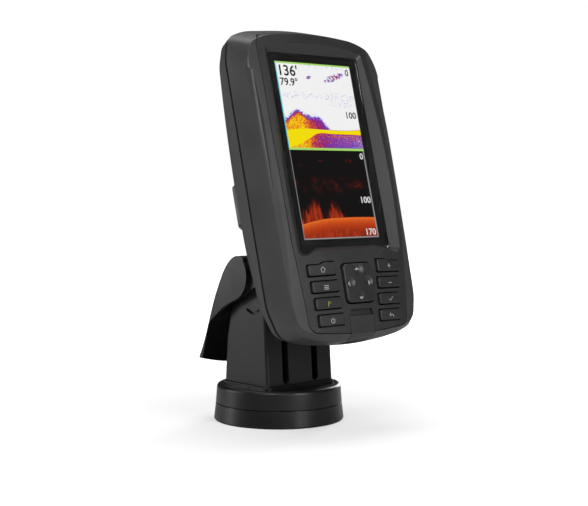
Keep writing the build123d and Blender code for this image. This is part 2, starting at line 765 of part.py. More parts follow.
# ---- Connector: a round socket with pins, set in the rear cover's boss ----
PIN_COUNT = 8
SOCKET_BORE_R = 7.0
SOCKET_FRONT = -12.6
with BuildPart() as connector_socket:
    with BuildSketch(HEAD.offset(SOCKET_BACK)):
        with Locations((0, SOCKET_UP)):
            Circle(SOCKET_R)
    extrude(amount=SOCKET_FRONT - SOCKET_BACK)
    with BuildSketch(HEAD.offset(SOCKET_BACK)):
        with Locations((0, SOCKET_UP)):
            Circle(SOCKET_BORE_R)
    extrude(amount=SOCKET_FRONT - SOCKET_BACK - 2, mode=Mode.SUBTRACT)
    with BuildSketch(HEAD.offset(SOCKET_BACK)):
        with Locations((0, SOCKET_UP + SOCKET_BORE_R)):
            Rectangle(1.6, 2.0)
    extrude(amount=SOCKET_FRONT - SOCKET_BACK - 2, mode=Mode.SUBTRACT)
save(connector_socket, "connector_socket")

with BuildPart() as connector_pins:
    with BuildSketch(HEAD.offset(SOCKET_FRONT - 2)):
        with Locations((0, SOCKET_UP)):
            with PolarLocations(3.6, PIN_COUNT):
                Circle(0.5)
    extrude(amount=-7)
save(connector_pins, "connector_pins")

# ---- Base: a ring screwed to the deck, with the swivel boss in its middle ----
BASE_FLOOR = 3.0
BOSS_TOP = 12.3
HUB_R = 9.0
RING_IN = 26.0
RING_OUT = 33.4
STOP_R = 18.0
STOP_W = 3.0
STOP_TOP = 12.0
SWIVEL_LIMIT = 90.0
HUB_FLOOR_LOW = 12.5
HUB_FLOOR_T = 3.0

with BuildPart() as base:
    with BuildSketch(Plane.XZ):
        with BuildLine():
            Polyline(
                (0, 0),
                (BASE_R - 0.6, 0),
                (BASE_R, 0.8),
                (BASE_TOP_R, BASE_H),
                (RING_IN - 1.5, BASE_H),
                (RING_IN - 1.5, BASE_FLOOR),
                (HUB_R, BASE_FLOOR),
                (HUB_R, BOSS_TOP),
                (0, BOSS_TOP),
                close=True,
            )
        make_face()
    revolve(axis=Axis.Z)
    with BuildSketch(Plane.XY.offset(BASE_FLOOR)):
        with Locations((0, STOP_R)):
            Rectangle(STOP_W, 6)
    extrude(amount=STOP_TOP - BASE_FLOOR)
    with Locations((0, 0, BOSS_TOP)):
        Hole(BOLT_R, depth=BOSS_TOP - 1.5)
    with Locations(Plane.XY.offset(BASE_FLOOR)):
        with PolarLocations(DECK_SCREW_PCD / 2, 4, start_angle=45):
            Hole(DECK_SCREW_R, depth=BASE_FLOOR)
save(base, "base")

with BuildPart() as friction_ring:
    with BuildSketch(Plane.XY.offset(BASE_H)):
        Circle(RING_OUT)
        Circle(RING_IN, mode=Mode.SUBTRACT)
    extrude(amount=RING_GAP)
save(friction_ring, "friction_ring")

# ---- Tower: the turntable and the hollow column with its two tilt ears, one moulding ----
TABLE_LOW = BASE_H + RING_GAP
COLUMN_LOW = TURNTABLE_TOP - 0.6
PLINTH_TOP = 21.6
EAR_INNER = 15.0
SLOT_IN = 8.4
SLOT_W = 4.3
SLOT_LOW = 22.0
SIDE_SLOT_Z = 61.0
REAR_SLOPE_Z = 45.0


def column_side(grow=0.0):
    """The column seen from the side, with its ear round the tilt pivot."""
    half = TOWER_HALF_Y + grow
    with BuildSketch(mode=Mode.PRIVATE) as shape:
        with BuildLine():
            Polyline(
                (-half, COLUMN_LOW),
                (2.8 - half, TOWER_TOP_Z + grow),
                (PIVOT_Y - EAR_R - grow, PIVOT_Z),
                (PIVOT_Y + EAR_R + grow, PIVOT_Z),
                (half - 5.5, TOWER_TOP_Z + 2 + grow),
                (half - 1.7, REAR_SLOPE_Z),
                (half, COLUMN_LOW),
                close=True,
            )
        make_face()
        with Locations((PIVOT_Y, PIVOT_Z)):
            Circle(EAR_R + grow)
    return shape.sketch


with BuildPart() as tower:
    with BuildSketch(SIDE):
        add(column_side())
    extrude(amount=TOWER_HALF_X, both=True)
    fillet(tower.edges().filter_by(lambda edge: abs((edge % 0.5).Z) > 0.95), 1.6)
    with BuildSketch(Plane.XY.offset(COLUMN_LOW)):
        RectangleRounded(2 * TOWER_HALF_X + 2.0, 2 * TOWER_HALF_Y + 2.0, 3)
    extrude(amount=PLINTH_TOP - COLUMN_LOW)
    chamfer(tower.faces().filter_by(Plane.XY).sort_by(Axis.Z)[-1].outer_wire().edges(), 0.6)
    with BuildSketch(Plane.XZ):
        with BuildLine():
            Polyline(
                (0, TABLE_LOW),
                (TURNTABLE_R + 0.6, TABLE_LOW),
                (TURNTABLE_R, TURNTABLE_TOP - 1.8),
            )
            ThreePointArc(
                (TURNTABLE_R, TURNTABLE_TOP - 1.8),
                (TURNTABLE_R - 0.6, TURNTABLE_TOP - 0.5),
                (TURNTABLE_R - 2.0, TURNTABLE_TOP),
            )
            Polyline(
                (TURNTABLE_R - 2.0, TURNTABLE_TOP),
                (TURNTABLE_R - 4.5, TURNTABLE_TOP - 0.5),
                (0, TURNTABLE_TOP - 0.5),
                (0, TABLE_LOW),
            )
        make_face()
    revolve(axis=Axis.Z)
    with BuildSketch(Plane.XY.offset(TABLE_LOW)):
        Circle(RING_IN - 0.5)
    extrude(amount=HUB_FLOOR_LOW - TABLE_LOW, mode=Mode.SUBTRACT)
    with BuildSketch(Plane.XY.offset(TABLE_LOW)):
        Circle(HUB_R + 3.5)
        Circle(HUB_R + SHAFT_PLAY, mode=Mode.SUBTRACT)
        for turn in (-1, 1):
            with Locations(Rot(0, 0, turn * (SWIVEL_LIMIT + 14)) * Pos(0, STOP_R)):
                Rectangle(STOP_W, 6)
    extrude(amount=HUB_FLOOR_LOW - TABLE_LOW)
    with BuildSketch(Plane.XY.offset(HUB_FLOOR_LOW - 1)):
        Circle(BOLT_R + SHAFT_PLAY)
    extrude(amount=HUB_FLOOR_T + 2, mode=Mode.SUBTRACT)
    with BuildSketch(SIDE):
        add(column_side(-MOUNT_WALL))
        with Locations((0, HUB_FLOOR_LOW + HUB_FLOOR_T)):
            Rectangle(100, 60, align=(Align.CENTER, Align.MIN), mode=Mode.INTERSECT)
    extrude(amount=TOWER_HALF_X - MOUNT_WALL, both=True, mode=Mode.SUBTRACT)
    with BuildSketch(Plane.XY.offset(HUB_FLOOR_LOW + HUB_FLOOR_T)):
        Rectangle(2 * EAR_INNER, 2 * (TOWER_HALF_Y - MOUNT_WALL - 2.0))
    extrude(amount=TOWER_TOP_Z - 2 - HUB_FLOOR_LOW - HUB_FLOOR_T, mode=Mode.SUBTRACT)
    with BuildSketch(SIDE):
        with Locations((0, TOWER_TOP_Z - 2)):
            Rectangle(60, 60, align=(Align.CENTER, Align.MIN))
    extrude(amount=EAR_INNER, both=True, mode=Mode.SUBTRACT)
    with BuildSketch(SIDE):
        with Locations((PIVOT_Y, PIVOT_Z)):
            Circle(BOLT_R + SHAFT_PLAY)
    extrude(amount=TOWER_HALF_X + 1, both=True, mode=Mode.SUBTRACT)
    with BuildSketch(Plane.XZ.offset(TOWER_HALF_Y + 5)):
        for side in (-1, 1):
            with Locations((side * (SLOT_IN + SLOT_W / 2), (SLOT_LOW + TOWER_TOP_Z + 8) / 2)):
                SlotOverall(TOWER_TOP_Z + 8 - SLOT_LOW, SLOT_W, rotation=90)
    extrude(amount=-MOUNT_WALL - 12, mode=Mode.SUBTRACT)
    side_slot = ThreePointArc(
        (-1.6, SIDE_SLOT_Z + 0.8),
        (-6.2, SIDE_SLOT_Z - 0.8),
        (-10.9, SIDE_SLOT_Z + 0.7),
        mode=Mode.PRIVATE,
    )
    for side in (-1, 1):
        with BuildSketch(SIDE.offset(side * (TOWER_HALF_X - 1.4))):
            SlotArc(arc=side_slot, height=1.5)
        extrude(amount=side * 3, mode=Mode.SUBTRACT)
save(tower, "tower")

# ---- Swivel bolt and washer: they hold the turntable down on the boss ----
HUB_FLOOR_TOP = HUB_FLOOR_LOW + HUB_FLOOR_T
with BuildPart() as swivel_washer:
    with BuildSketch(Plane.XY.offset(HUB_FLOOR_TOP)):
        Circle(7.0)
        Circle(BOLT_R + SHAFT_PLAY, mode=Mode.SUBTRACT)
    extrude(amount=1.0)
save(swivel_washer, "swivel_washer")

with BuildPart() as swivel_bolt:
    with BuildSketch(Plane.XY.offset(2.0)):
        Circle(BOLT_R)
    extrude(amount=HUB_FLOOR_TOP + 1.0 - 2.0)
    with BuildSketch(Plane.XY.offset(HUB_FLOOR_TOP + 1.0)):
        Circle(5.0)
    extrude(amount=3.6)
    with BuildSketch(Plane.XY.offset(HUB_FLOOR_TOP + 4.6)):
        RegularPolygon(2.6, 6)
    extrude(amount=-2.4, mode=Mode.SUBTRACT)
save(swivel_bolt, "swivel_bolt")

# ---- Cradle: two ears on the tilt bolt, an arm and a plate with rails for the head's block ----
PLATE_FRONT = -36.5
PLATE_BACK = -39.7
PLATE_HALF = 28.0
PLATE_TOP = -5.0
PLATE_BOTTOM = -62.5
RAIL_PLAY = 0.3
RAIL_FRONT = -29.8
CRADLE_EAR_IN = TOWER_HALF_X + WASHER_T
CRADLE_EAR_OUT = CRADLE_EAR_IN + CRADLE_EAR_T
BOLT_HEAD_R = 4.8
BOLT_HEAD_T = 2.2
BUTTON_IN = 31.0
BUTTON_OUT = 39.5
BUTTON_TOP = -10.0
BUTTON_LOW = -33.0
BUTTON_TRAVEL = 2.4
STEM_BACK = -39.0
STEM_FRONT = -37.2
STEM_HALF = 3.5
STEM_PLAY = 0.15

with BuildPart() as cradle:
    with BuildSketch(HEAD.offset(PLATE_BACK)):
        with Locations((0, (PLATE_TOP + PLATE_BOTTOM) / 2)):
            RectangleRounded(2 * PLATE_HALF, PLATE_TOP - PLATE_BOTTOM, 2)
    extrude(amount=PLATE_FRONT - PLATE_BACK)
    with BuildSketch(HEAD.offset(PLATE_FRONT)):
        for side in (-1, 1):
            rail_middle = side * (BLOCK_HALF + RAIL_PLAY + PLATE_HALF) / 2
            with Locations((rail_middle, (PLATE_TOP + PLATE_BOTTOM) / 2 - 1)):
                Rectangle(PLATE_HALF - BLOCK_HALF - RAIL_PLAY, PLATE_TOP - PLATE_BOTTOM - 6)
    extrude(amount=RAIL_FRONT - PLATE_FRONT)
    with BuildSketch(HEAD.offset(GROOVE_BACK + RAIL_PLAY)):
        for side in (-1, 1):
            with Locations((side * (BLOCK_HALF - 0.8), (PLATE_TOP + PLATE_BOTTOM) / 2 - 1)):
                Rectangle(2.2, PLATE_TOP - PLATE_BOTTOM - 6)
    extrude(amount=GROOVE_OUT - GROOVE_BACK - 2 * RAIL_PLAY)
    with BuildSketch(HEAD.offset(PLATE_BACK)):
        with Locations((0, BLOCK_BOTTOM - 1.5)):
            Rectangle(34, 2.4)
    extrude(amount=12)
    with BuildSketch(SIDE.offset(CRADLE_EAR_IN)):
        with Locations((PIVOT_Y, PIVOT_Z)):
            Circle(EAR_R)
        with BuildLine():
            Polyline(
                head_yz(PLATE_BOTTOM, PLATE_BACK + 0.5),
                head_yz(-42.0, PLATE_BACK + 0.5),
                head_yz(-41.0, PLATE_BACK - 1.5),
                (-6.1, PIVOT_Z + 16.0),
                (-6.1, PIVOT_Z + 11.8),
                (-1.6, PIVOT_Z + 10.9),
                (4.4, PIVOT_Z + 7.4),
                (PIVOT_Y + EAR_R - 0.8, PIVOT_Z + 2.4),
                (PIVOT_Y + 1.0, PIVOT_Z - EAR_R + 0.1),
                (PIVOT_Y - 1.5, PIVOT_Z - EAR_R + 0.2),
                close=True,
            )
        make_face()
    extrude(amount=CRADLE_EAR_T)
    mirror(about=Plane.YZ)
    with BuildSketch(SIDE):
        with Locations((PIVOT_Y, PIVOT_Z)):
            Circle(BOLT_R)
    extrude(amount=CRADLE_EAR_OUT + 1, both=True, mode=Mode.SUBTRACT)
    with BuildSketch(SIDE.offset(-CRADLE_EAR_OUT)):
        with Locations((PIVOT_Y, PIVOT_Z)):
            Circle(BOLT_HEAD_R)
    extrude(amount=BOLT_HEAD_T, mode=Mode.SUBTRACT)
    with BuildSketch(SIDE.offset(CRADLE_EAR_OUT)):
        with Locations((PIVOT_Y, PIVOT_Z)):
            RegularPolygon(BOLT_HEAD_R, 6)
    extrude(amount=-BOLT_HEAD_T, mode=Mode.SUBTRACT)
    with BuildSketch(HEAD.offset(STEM_BACK - STEM_PLAY)):
        for side in (-1, 1):
            with Locations((side * 24.0, (BUTTON_TOP + BUTTON_LOW) / 2)):
                Rectangle(12.0, 2 * (STEM_HALF + STEM_PLAY))
    extrude(amount=STEM_FRONT - STEM_BACK + 2 * STEM_PLAY, mode=Mode.SUBTRACT)
    with BuildSketch(HEAD.offset(PLATE_BACK - 1)):
        with Locations((0, -30)):
            RectangleRounded(24, 34, 3)
    extrude(amount=5, mode=Mode.SUBTRACT)
save(cradle, "cradle")

with BuildPart() as tilt_bolt:
    with BuildSketch(SIDE.offset(-CRADLE_EAR_OUT)):
        with Locations((PIVOT_Y, PIVOT_Z)):
            Circle(BOLT_R)
    extrude(amount=2 * CRADLE_EAR_OUT - 0.4)
    with BuildSketch(SIDE.offset(-CRADLE_EAR_OUT)):
        with Locations((PIVOT_Y, PIVOT_Z)):
            Circle(BOLT_HEAD_R)
    extrude(amount=BOLT_HEAD_T)
    with BuildSketch(SIDE.offset(-CRADLE_EAR_OUT)):
        with Locations((PIVOT_Y, PIVOT_Z)):
            RegularPolygon(2.3, 6)
    extrude(amount=1.6, mode=Mode.SUBTRACT)
save(tilt_bolt, "tilt_bolt")

with BuildPart() as tilt_nut:
    with BuildSketch(SIDE.offset(CRADLE_EAR_OUT)):
        with Locations((PIVOT_Y, PIVOT_Z)):
            RegularPolygon(BOLT_HEAD_R, 6)
            Circle(BOLT_R, mode=Mode.SUBTRACT)
    extrude(amount=-BOLT_HEAD_T)
save(tilt_nut, "tilt_nut")

with BuildPart() as friction_washers:
    for side in (-1, 1):
        with BuildSketch(SIDE.offset(side * TOWER_HALF_X)):
            with Locations((PIVOT_Y, PIVOT_Z)):
                Circle(EAR_R - 0.4)
                Circle(BOLT_R, mode=Mode.SUBTRACT)
        extrude(amount=side * WASHER_T)
save(friction_washers, "friction_washers")

# ---- Hood: a curved cover over the ears, with a tongue down the back ----
HOOD_HALF = CRADLE_EAR_OUT + HOOD_CHEEK_T
TONGUE_LOW = 28.6
TONGUE_DROP = 4.0


BACK_CURVE = [(2.4, 90.2), (8.6, 85.4), (14.2, 76.9), (20.0, 64.8), (26.0, 48.6), (32.6, 34.0)]
INNER_CURVE = [(0.8, 87.9), (6.6, 83.6), (11.8, 75.6), (17.5, 63.8), (23.4, 47.6), (30.1, 32.8)]

with BuildPart() as hood:
    with BuildSketch(SIDE):
        with BuildLine():
            Spline((-2.6, 90.8), *BACK_CURVE)
            Polyline(BACK_CURVE[-1], (35.0, TONGUE_LOW - 1), (31.6, TONGUE_LOW - 1), (24.2, 53.0))
            Polyline((24.2, 53.0), (12.0, 62.4), (1.6, 67.0))
            ThreePointArc((1.6, 67.0), (-8.2, 79.8), (-5.6, 88.0))
            ThreePointArc((-5.6, 88.0), (-4.4, 90.2), (-2.6, 90.8))
        make_face()
    extrude(amount=HOOD_HALF, both=True)
    with BuildSketch(SIDE):
        with BuildLine():
            Spline((-6.0, 88.3), *INNER_CURVE)
            Polyline(INNER_CURVE[-1], (34.0, 20.0), (-20.0, 20.0), (-20.0, 88.3), (-6.0, 88.3))
        make_face()
    extrude(amount=CRADLE_EAR_OUT, both=True, mode=Mode.SUBTRACT)
    with BuildSketch(Plane.XZ):
        with BuildLine():
            ThreePointArc((-HOOD_HALF - 1, TONGUE_LOW + 4.4), (0, TONGUE_LOW), (HOOD_HALF + 1, TONGUE_LOW + 4.4))
            Polyline(
                (HOOD_HALF + 1, TONGUE_LOW + 4.4),
                (HOOD_HALF + 1, 10),
                (-HOOD_HALF - 1, 10),
                (-HOOD_HALF - 1, TONGUE_LOW + 4.4),
            )
        make_face()
    extrude(amount=60, both=True, mode=Mode.SUBTRACT)
save(hood, "hood")

# ---- Release buttons: squeezed towards each other, they free the head ----
BUTTON_MIDDLE = (BUTTON_TOP + BUTTON_LOW) / 2


def make_button(side):
    with BuildPart() as button:
        with BuildSketch(HEAD_CROSS.offset(-BUTTON_TOP)):
            with BuildLine():
                Polyline(
                    (side * BUTTON_IN, -27.0),
                    (side * (BUTTON_OUT - 2.0), -25.4),
                    (side * BUTTON_OUT, -27.8),
                    (side * BUTTON_OUT, -33.4),
                    (side * (BUTTON_OUT - 4.5), STEM_BACK),
                    (side * BUTTON_IN, STEM_BACK),
                    close=True,
                )
            make_face()
        extrude(amount=BUTTON_TOP - BUTTON_LOW)
        ends = button.edges().filter_by(lambda edge: abs((edge % 0.5).dot(UP)) < 0.01)
        chamfer(ends.filter_by(lambda edge: abs(edge.center().X) > BUTTON_OUT - 5), 1.4)
        with BuildSketch(HEAD.offset(STEM_BACK)):
            with Locations((side * (BUTTON_IN - 4.0), BUTTON_MIDDLE)):
                Rectangle(10.0, 2 * STEM_HALF)
        extrude(amount=STEM_FRONT - STEM_BACK)
    return button


for side, label in ((-1, "left"), (1, "right")):
    save(make_button(side), f"release_button_{label}")
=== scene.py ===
# %% [markdown]
# # A fish finder on its swivel mount
# The solid model already holds the housing, keys, tower and hood at their real sizes.
# This lesson gives every one of them a real finish, adds the printed legends and the
# picture on the display, and lights it all like a small studio product shot.
# Everything is in metres, in the same frame as the solid model.

# %% Load the frame
import json
import math

import bmesh
import bpy
from mathutils import Matrix, Vector
from mathutils.bvhtree import BVHTree


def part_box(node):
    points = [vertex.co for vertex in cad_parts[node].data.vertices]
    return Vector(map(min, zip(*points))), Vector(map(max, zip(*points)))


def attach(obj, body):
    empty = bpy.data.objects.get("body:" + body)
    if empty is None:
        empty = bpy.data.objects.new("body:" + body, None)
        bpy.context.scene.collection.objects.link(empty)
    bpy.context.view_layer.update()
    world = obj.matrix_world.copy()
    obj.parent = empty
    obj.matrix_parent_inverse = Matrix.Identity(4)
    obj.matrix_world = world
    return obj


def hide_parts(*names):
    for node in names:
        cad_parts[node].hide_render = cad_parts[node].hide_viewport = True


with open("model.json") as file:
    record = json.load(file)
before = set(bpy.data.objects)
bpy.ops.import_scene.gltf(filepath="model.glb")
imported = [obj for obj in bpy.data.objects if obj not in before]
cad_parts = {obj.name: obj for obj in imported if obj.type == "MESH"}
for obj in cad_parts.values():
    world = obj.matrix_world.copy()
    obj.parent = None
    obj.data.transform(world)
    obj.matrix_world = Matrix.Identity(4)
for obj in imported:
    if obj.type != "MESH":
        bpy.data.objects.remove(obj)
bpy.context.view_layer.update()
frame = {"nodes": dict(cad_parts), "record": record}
nodes = frame["nodes"]

# %% [markdown]
# ## The head's own directions
# The head leans back a little, so its screen is not upright. Legends and the display
# picture are easier to draw flat, in a frame that lies on the screen: x across,
# y up the screen and z out of it. One matrix takes that flat frame to the real place.

# %% The flat frame of the screen
MM = 0.001
REST_TILT = math.radians(14.4)
SCREEN = Vector((0, -37.98, 146.66)) * MM
ACROSS = Vector((1, 0, 0))
UP = Vector((0, math.sin(REST_TILT), math.cos(REST_TILT)))
OUT = ACROSS.cross(UP)
HEAD = Matrix.Translation(SCREEN) @ Matrix((ACROSS, UP, OUT)).transposed().to_4x4()
print("screen faces", [round(x, 3) for x in OUT])

# %% [markdown]
# ## Camera
# A long lens from the left and slightly above keeps the tall head free of distortion.
# The camera is turned with a yaw and a small pitch, with no roll at all.

# %% The camera
camera_data = bpy.data.cameras.new("camera")
camera_data.lens = 78.8
camera_data.sensor_width = 36.0
camera_data.clip_end = 20.0
camera = bpy.data.objects.new("camera", camera_data)
bpy.context.scene.collection.objects.link(camera)
camera.location = Vector((-462.1, -535.3, 131.6)) * MM
YAW, PITCH = 0.724, 0.057
looking = Vector((math.sin(YAW) * math.cos(PITCH), math.cos(YAW) * math.cos(PITCH), -math.sin(PITCH)))
camera.rotation_euler = looking.to_track_quat("-Z", "Y").to_euler()
bpy.context.scene.camera = camera
print("camera looks along", [round(x, 3) for x in looking])

# %% [markdown]
# ## Small tools for shader nodes
# A procedural finish is a little network of nodes. It could be drawn by hand in the shader
# editor, but placing a node, setting its inputs and linking it is the same every time, so a
# few short helpers keep the finishes readable and easy to change.

# %% Node helpers
# The sockets of a Mix node that work on colours have no names of their own.
MIX_SHARE, MIX_FIRST, MIX_SECOND, MIX_RESULT = 0, 6, 7, 2


def join(tree, value, socket):
    """Links value to the socket if it is one itself, or else sets it."""
    if isinstance(value, bpy.types.NodeSocket):
        tree.links.new(value, socket)
    else:
        socket.default_value = value


def node(tree, kind, inputs=None, **settings):
    made = tree.nodes.new(kind)
    for name, value in settings.items():
        setattr(made, name, value)
    for name, value in (inputs or {}).items():
        join(tree, value, made.inputs[name])
    return made


def calc(tree, operation, *values, clamp=False):
    made = node(tree, "ShaderNodeMath", operation=operation, use_clamp=clamp)
    for socket, value in zip(made.inputs, values):
        join(tree, value, socket)
    return made.outputs[0]


def step(tree, value, low, high):
    """0 below low and 1 above high, with a soft ramp between them."""
    made = node(tree, "ShaderNodeMapRange", {"Value": value}, interpolation_type="SMOOTHSTEP")
    made.inputs["From Min"].default_value = low
    made.inputs["From Max"].default_value = high
    return made.outputs["Result"]


def blend_colours(tree, share, first, second):
    made = node(tree, "ShaderNodeMix", data_type="RGBA")
    join(tree, share, made.inputs[MIX_SHARE])
    join(tree, first, made.inputs[MIX_FIRST])
    join(tree, second, made.inputs[MIX_SECOND])
    return made.outputs[MIX_RESULT]


def ramp(tree, factor, stops):
    made = node(tree, "ShaderNodeValToRGB", {"Fac": factor})
    elements = made.color_ramp.elements
    while len(elements) < len(stops):
        elements.new(0.5)
    for element, (place, colour) in zip(elements, stops):
        element.position = place
        element.color = (*colour, 1)
    return made.outputs["Color"]


def noise(tree, place, size_mm, detail=2.0, rough=0.5):
    """Soft random spots about size_mm across."""
    made = node(tree, "ShaderNodeTexNoise", {"Vector": place, "Detail": detail, "Roughness": rough})
    made.inputs["Scale"].default_value = 1 / (size_mm * MM)
    return made.outputs["Fac"]


def new_group(name, inputs, outputs):
    """An empty shader node group with named inputs and outputs."""
    group = bpy.data.node_groups.new(name, "ShaderNodeTree")
    for label, value in inputs:
        socket = group.interface.new_socket(name=label, in_out="INPUT", socket_type="NodeSocketFloat")
        socket.default_value = value
    for label in outputs:
        group.interface.new_socket(name=label, in_out="OUTPUT", socket_type="NodeSocketFloat")
    entry = group.nodes.new("NodeGroupInput")
    leave = group.nodes.new("NodeGroupOutput")
    print("group", name, "gives", outputs)
    return group, entry.outputs, leave.inputs


print("node helpers ready")

# %% [markdown]
# ## Moulded grain
# The plastics of such a unit come out of a spark-eroded mould, which leaves a fine matt
# grain of about a quarter of a millimetre. Two noises make it: one for the grain itself,
# and a much larger one for the slow changes in tone that every big moulding has.
# As a group, it can be placed in each plastic with its own size and spread.

# %% The moulded grain group
grain_group, grain_in, grain_out = new_group(
    "moulded_grain", [("Grain mm", 0.3), ("Patch mm", 18.0)], ["Height", "Tone", "Sheen"]
)
place = node(grain_group, "ShaderNodeTexCoord").outputs["Object"]


def scaled_noise(size, detail):
    made = node(grain_group, "ShaderNodeTexNoise", {"Vector": place, "Detail": detail})
    join(grain_group, calc(grain_group, "DIVIDE", 1 / MM, size), made.inputs["Scale"])
    return made.outputs["Fac"]


fine = scaled_noise(grain_in["Grain mm"], 2.0)
slow = scaled_noise(grain_in["Patch mm"], 3.0)
join(grain_group, fine, grain_out["Height"])
join(grain_group, calc(grain_group, "ADD", calc(grain_group, "MULTIPLY", slow, 0.7),
                       calc(grain_group, "MULTIPLY", fine, 0.3)), grain_out["Tone"])
join(grain_group, step(grain_group, slow, 0.3, 0.7), grain_out["Sheen"])

# %% [markdown]
# ## Worn edges, with a painted highlight
# Hands and pockets polish the corners of a moulding first, and a mould's own sharp
# corners catch the light. Pointiness tells how much a spot sticks out, so a soft step of it,
# broken up with noise, gives a thin lighter line where the edges are: partly wear, partly a painted
# highlight.

# %% The edge wear and painted highlight group
edge_line_group, edge_line_in, edge_line_out = new_group("edge_wear_and_highlight", [("Start", 0.52), ("Full", 0.60)], ["Mask"])
pointy = node(edge_line_group, "ShaderNodeNewGeometry").outputs["Pointiness"]
breaks = noise(edge_line_group, node(edge_line_group, "ShaderNodeTexCoord").outputs["Object"], 2.2)
edge = node(edge_line_group, "ShaderNodeMapRange", {"Value": pointy})
join(edge_line_group, edge_line_in["Start"], edge.inputs["From Min"])
join(edge_line_group, edge_line_in["Full"], edge.inputs["From Max"])
uneven = calc(edge_line_group, "ADD", calc(edge_line_group, "MULTIPLY", breaks, 0.8), 0.4)
join(edge_line_group, calc(edge_line_group, "MULTIPLY", edge.outputs[0], uneven, clamp=True), edge_line_out["Mask"])

# %% [markdown]
# ## One recipe for solid finishes
# Plastic, rubber and metal differ in colour, gloss and grain, but the network is the same:
# grain and wear change the colour and roughness a little, the pale edges partly as a painted
# highlight, and a fine bump with slightly rounded edges catches the lamps. Each finish is then one line
# of values.

# %% Shared values of the solid finishes
PATCH_MM = 18.0
EDGE_LINE_START, EDGE_LINE_FULL = 0.52, 0.62
WEAR_GLOSS = 0.15
SHEEN_SPREAD = 0.10
BUMP_STRENGTH = 0.6
EDGE_ROUND = 0.25
BLUE_LEAN = 1.01
print("slow tone patches", PATCH_MM, "mm, shader edge rounding", EDGE_ROUND, "mm")


# %% The finish recipe
def grey(value):
    return (value, value, value * BLUE_LEAN)


def place_group(tree, group, **values):
    made = node(tree, "ShaderNodeGroup", node_tree=group)
    for name, value in values.items():
        made.inputs[name.replace("_", " ")].default_value = value
    return made.outputs


def finish(name, colour, rough, grain=0.3, depth=0.02, tone=0.12, wear_and_highlight=0.3, metal=0.0, shine=0.5):
    """A solid finish. grain and depth are in millimetres; tone and the share of pale edges, partly wear
    and partly a painted highlight, are shares.
    """
    made = bpy.data.materials.new(name)
    made.use_nodes = True
    tree = made.node_tree
    shader = tree.nodes["Principled BSDF"]
    patches = place_group(tree, grain_group, Grain_mm=grain, Patch_mm=PATCH_MM)
    worn_and_lit = place_group(tree, edge_line_group, Start=EDGE_LINE_START, Full=EDGE_LINE_FULL)["Mask"]
    dark = (*(c * (1 - tone) for c in colour), 1)
    light = (*(c * (1 + tone) for c in colour), 1)
    # The pale colour on the edges is partly wear and partly a painted highlight.
    pale = (*(min(1.0, c * 2.2 + 0.01) for c in colour), 1)
    base = blend_colours(tree, patches["Tone"], dark, light)
    share = calc(tree, "MULTIPLY", worn_and_lit, wear_and_highlight)
    join(tree, blend_colours(tree, share, base, pale), shader.inputs["Base Color"])
    gloss = calc(tree, "MULTIPLY_ADD", patches["Sheen"], SHEEN_SPREAD, rough - SHEEN_SPREAD / 2)
    polish = calc(tree, "MULTIPLY", share, WEAR_GLOSS)
    join(tree, calc(tree, "SUBTRACT", gloss, polish), shader.inputs["Roughness"])
    shader.inputs["Metallic"].default_value = metal
    shader.inputs["Specular IOR Level"].default_value = shine
    soft = node(tree, "ShaderNodeBevel", {"Radius": EDGE_ROUND * MM}, samples=4)
    bump = node(tree, "ShaderNodeBump", {"Height": patches["Height"], "Normal": soft.outputs[0]})
    bump.inputs["Distance"].default_value = depth * MM
    bump.inputs["Strength"].default_value = BUMP_STRENGTH
    join(tree, bump.outputs[0], shader.inputs["Normal"])
    return made


print("finish recipe ready")

# %% [markdown]
# ## The finishes of this object
# The face and its frame are the same dark charcoal; the frame is a little lighter and the face
# a little darker, as painted light and painted shade for how the lamps fall on them. The mount
# is a blacker and glossier plastic. Inside there are boards, steel, brass and rubber, which
# show only when a cover comes off, so they get a simple value or two each.

# %% The list of finishes
FINISHES = {
    # face_plastic and frame_plastic are one charcoal, darker and lighter as painted shade and painted
    # light.
    "face_plastic": finish("face_plastic", grey(0.024), 0.44, grain=0.30, depth=0.012),
    "frame_plastic": finish("frame_plastic", grey(0.042), 0.42, grain=0.35, depth=0.014),
    "rear_plastic": finish("rear_plastic", grey(0.026), 0.50, grain=0.45, depth=0.03),
    "seal_rubber": finish("seal_rubber", grey(0.010), 0.65, grain=0.2, wear_and_highlight=0.1),
    "tape": finish("tape", grey(0.006), 0.7, grain=0.15, wear_and_highlight=0.0),
    "backlight_film": finish("backlight_film", (0.7, 0.72, 0.74), 0.3, wear_and_highlight=0.0),
    "steel_sheet": finish("steel_sheet", (0.55, 0.56, 0.57), 0.32, metal=1.0, depth=0.004),
    "board": finish("board", (0.01, 0.09, 0.045), 0.4, grain=0.8, wear_and_highlight=0.1),
    "ceramic": finish("ceramic", (0.62, 0.55, 0.44), 0.5),
    "dark_plastic": finish("dark_plastic", grey(0.012), 0.38, grain=0.2, depth=0.01),
    "steel": finish("steel", (0.52, 0.52, 0.53), 0.28, metal=1.0, depth=0.004),
    "silicone": finish("silicone", grey(0.006), 0.6, grain=0.2, wear_and_highlight=0.1),
    "key_plastic": finish("key_plastic", grey(0.026), 0.38, grain=0.22, depth=0.008, wear_and_highlight=0.3),
    "contact_brass": finish("contact_brass", (0.72, 0.50, 0.20), 0.25, metal=1.0, depth=0.003),
    "mount_plastic": finish("mount_plastic", grey(0.004), 0.36, grain=0.40, depth=0.012, shine=0.4),
    "nylon": finish("nylon", grey(0.012), 0.45),
    "display": finish("display", grey(0.004), 0.2, wear_and_highlight=0.0, depth=0.002),
}
print(len(FINISHES), "solid finishes")

# %% [markdown]
# ## The window
# The window is one sheet of clear, hard-coated plastic. It could be faked with a mix of
# transparent and glossy shaders, but real transmission also gives the right edge.
# Only its roughness changes, with the faint smears a wiped window has.

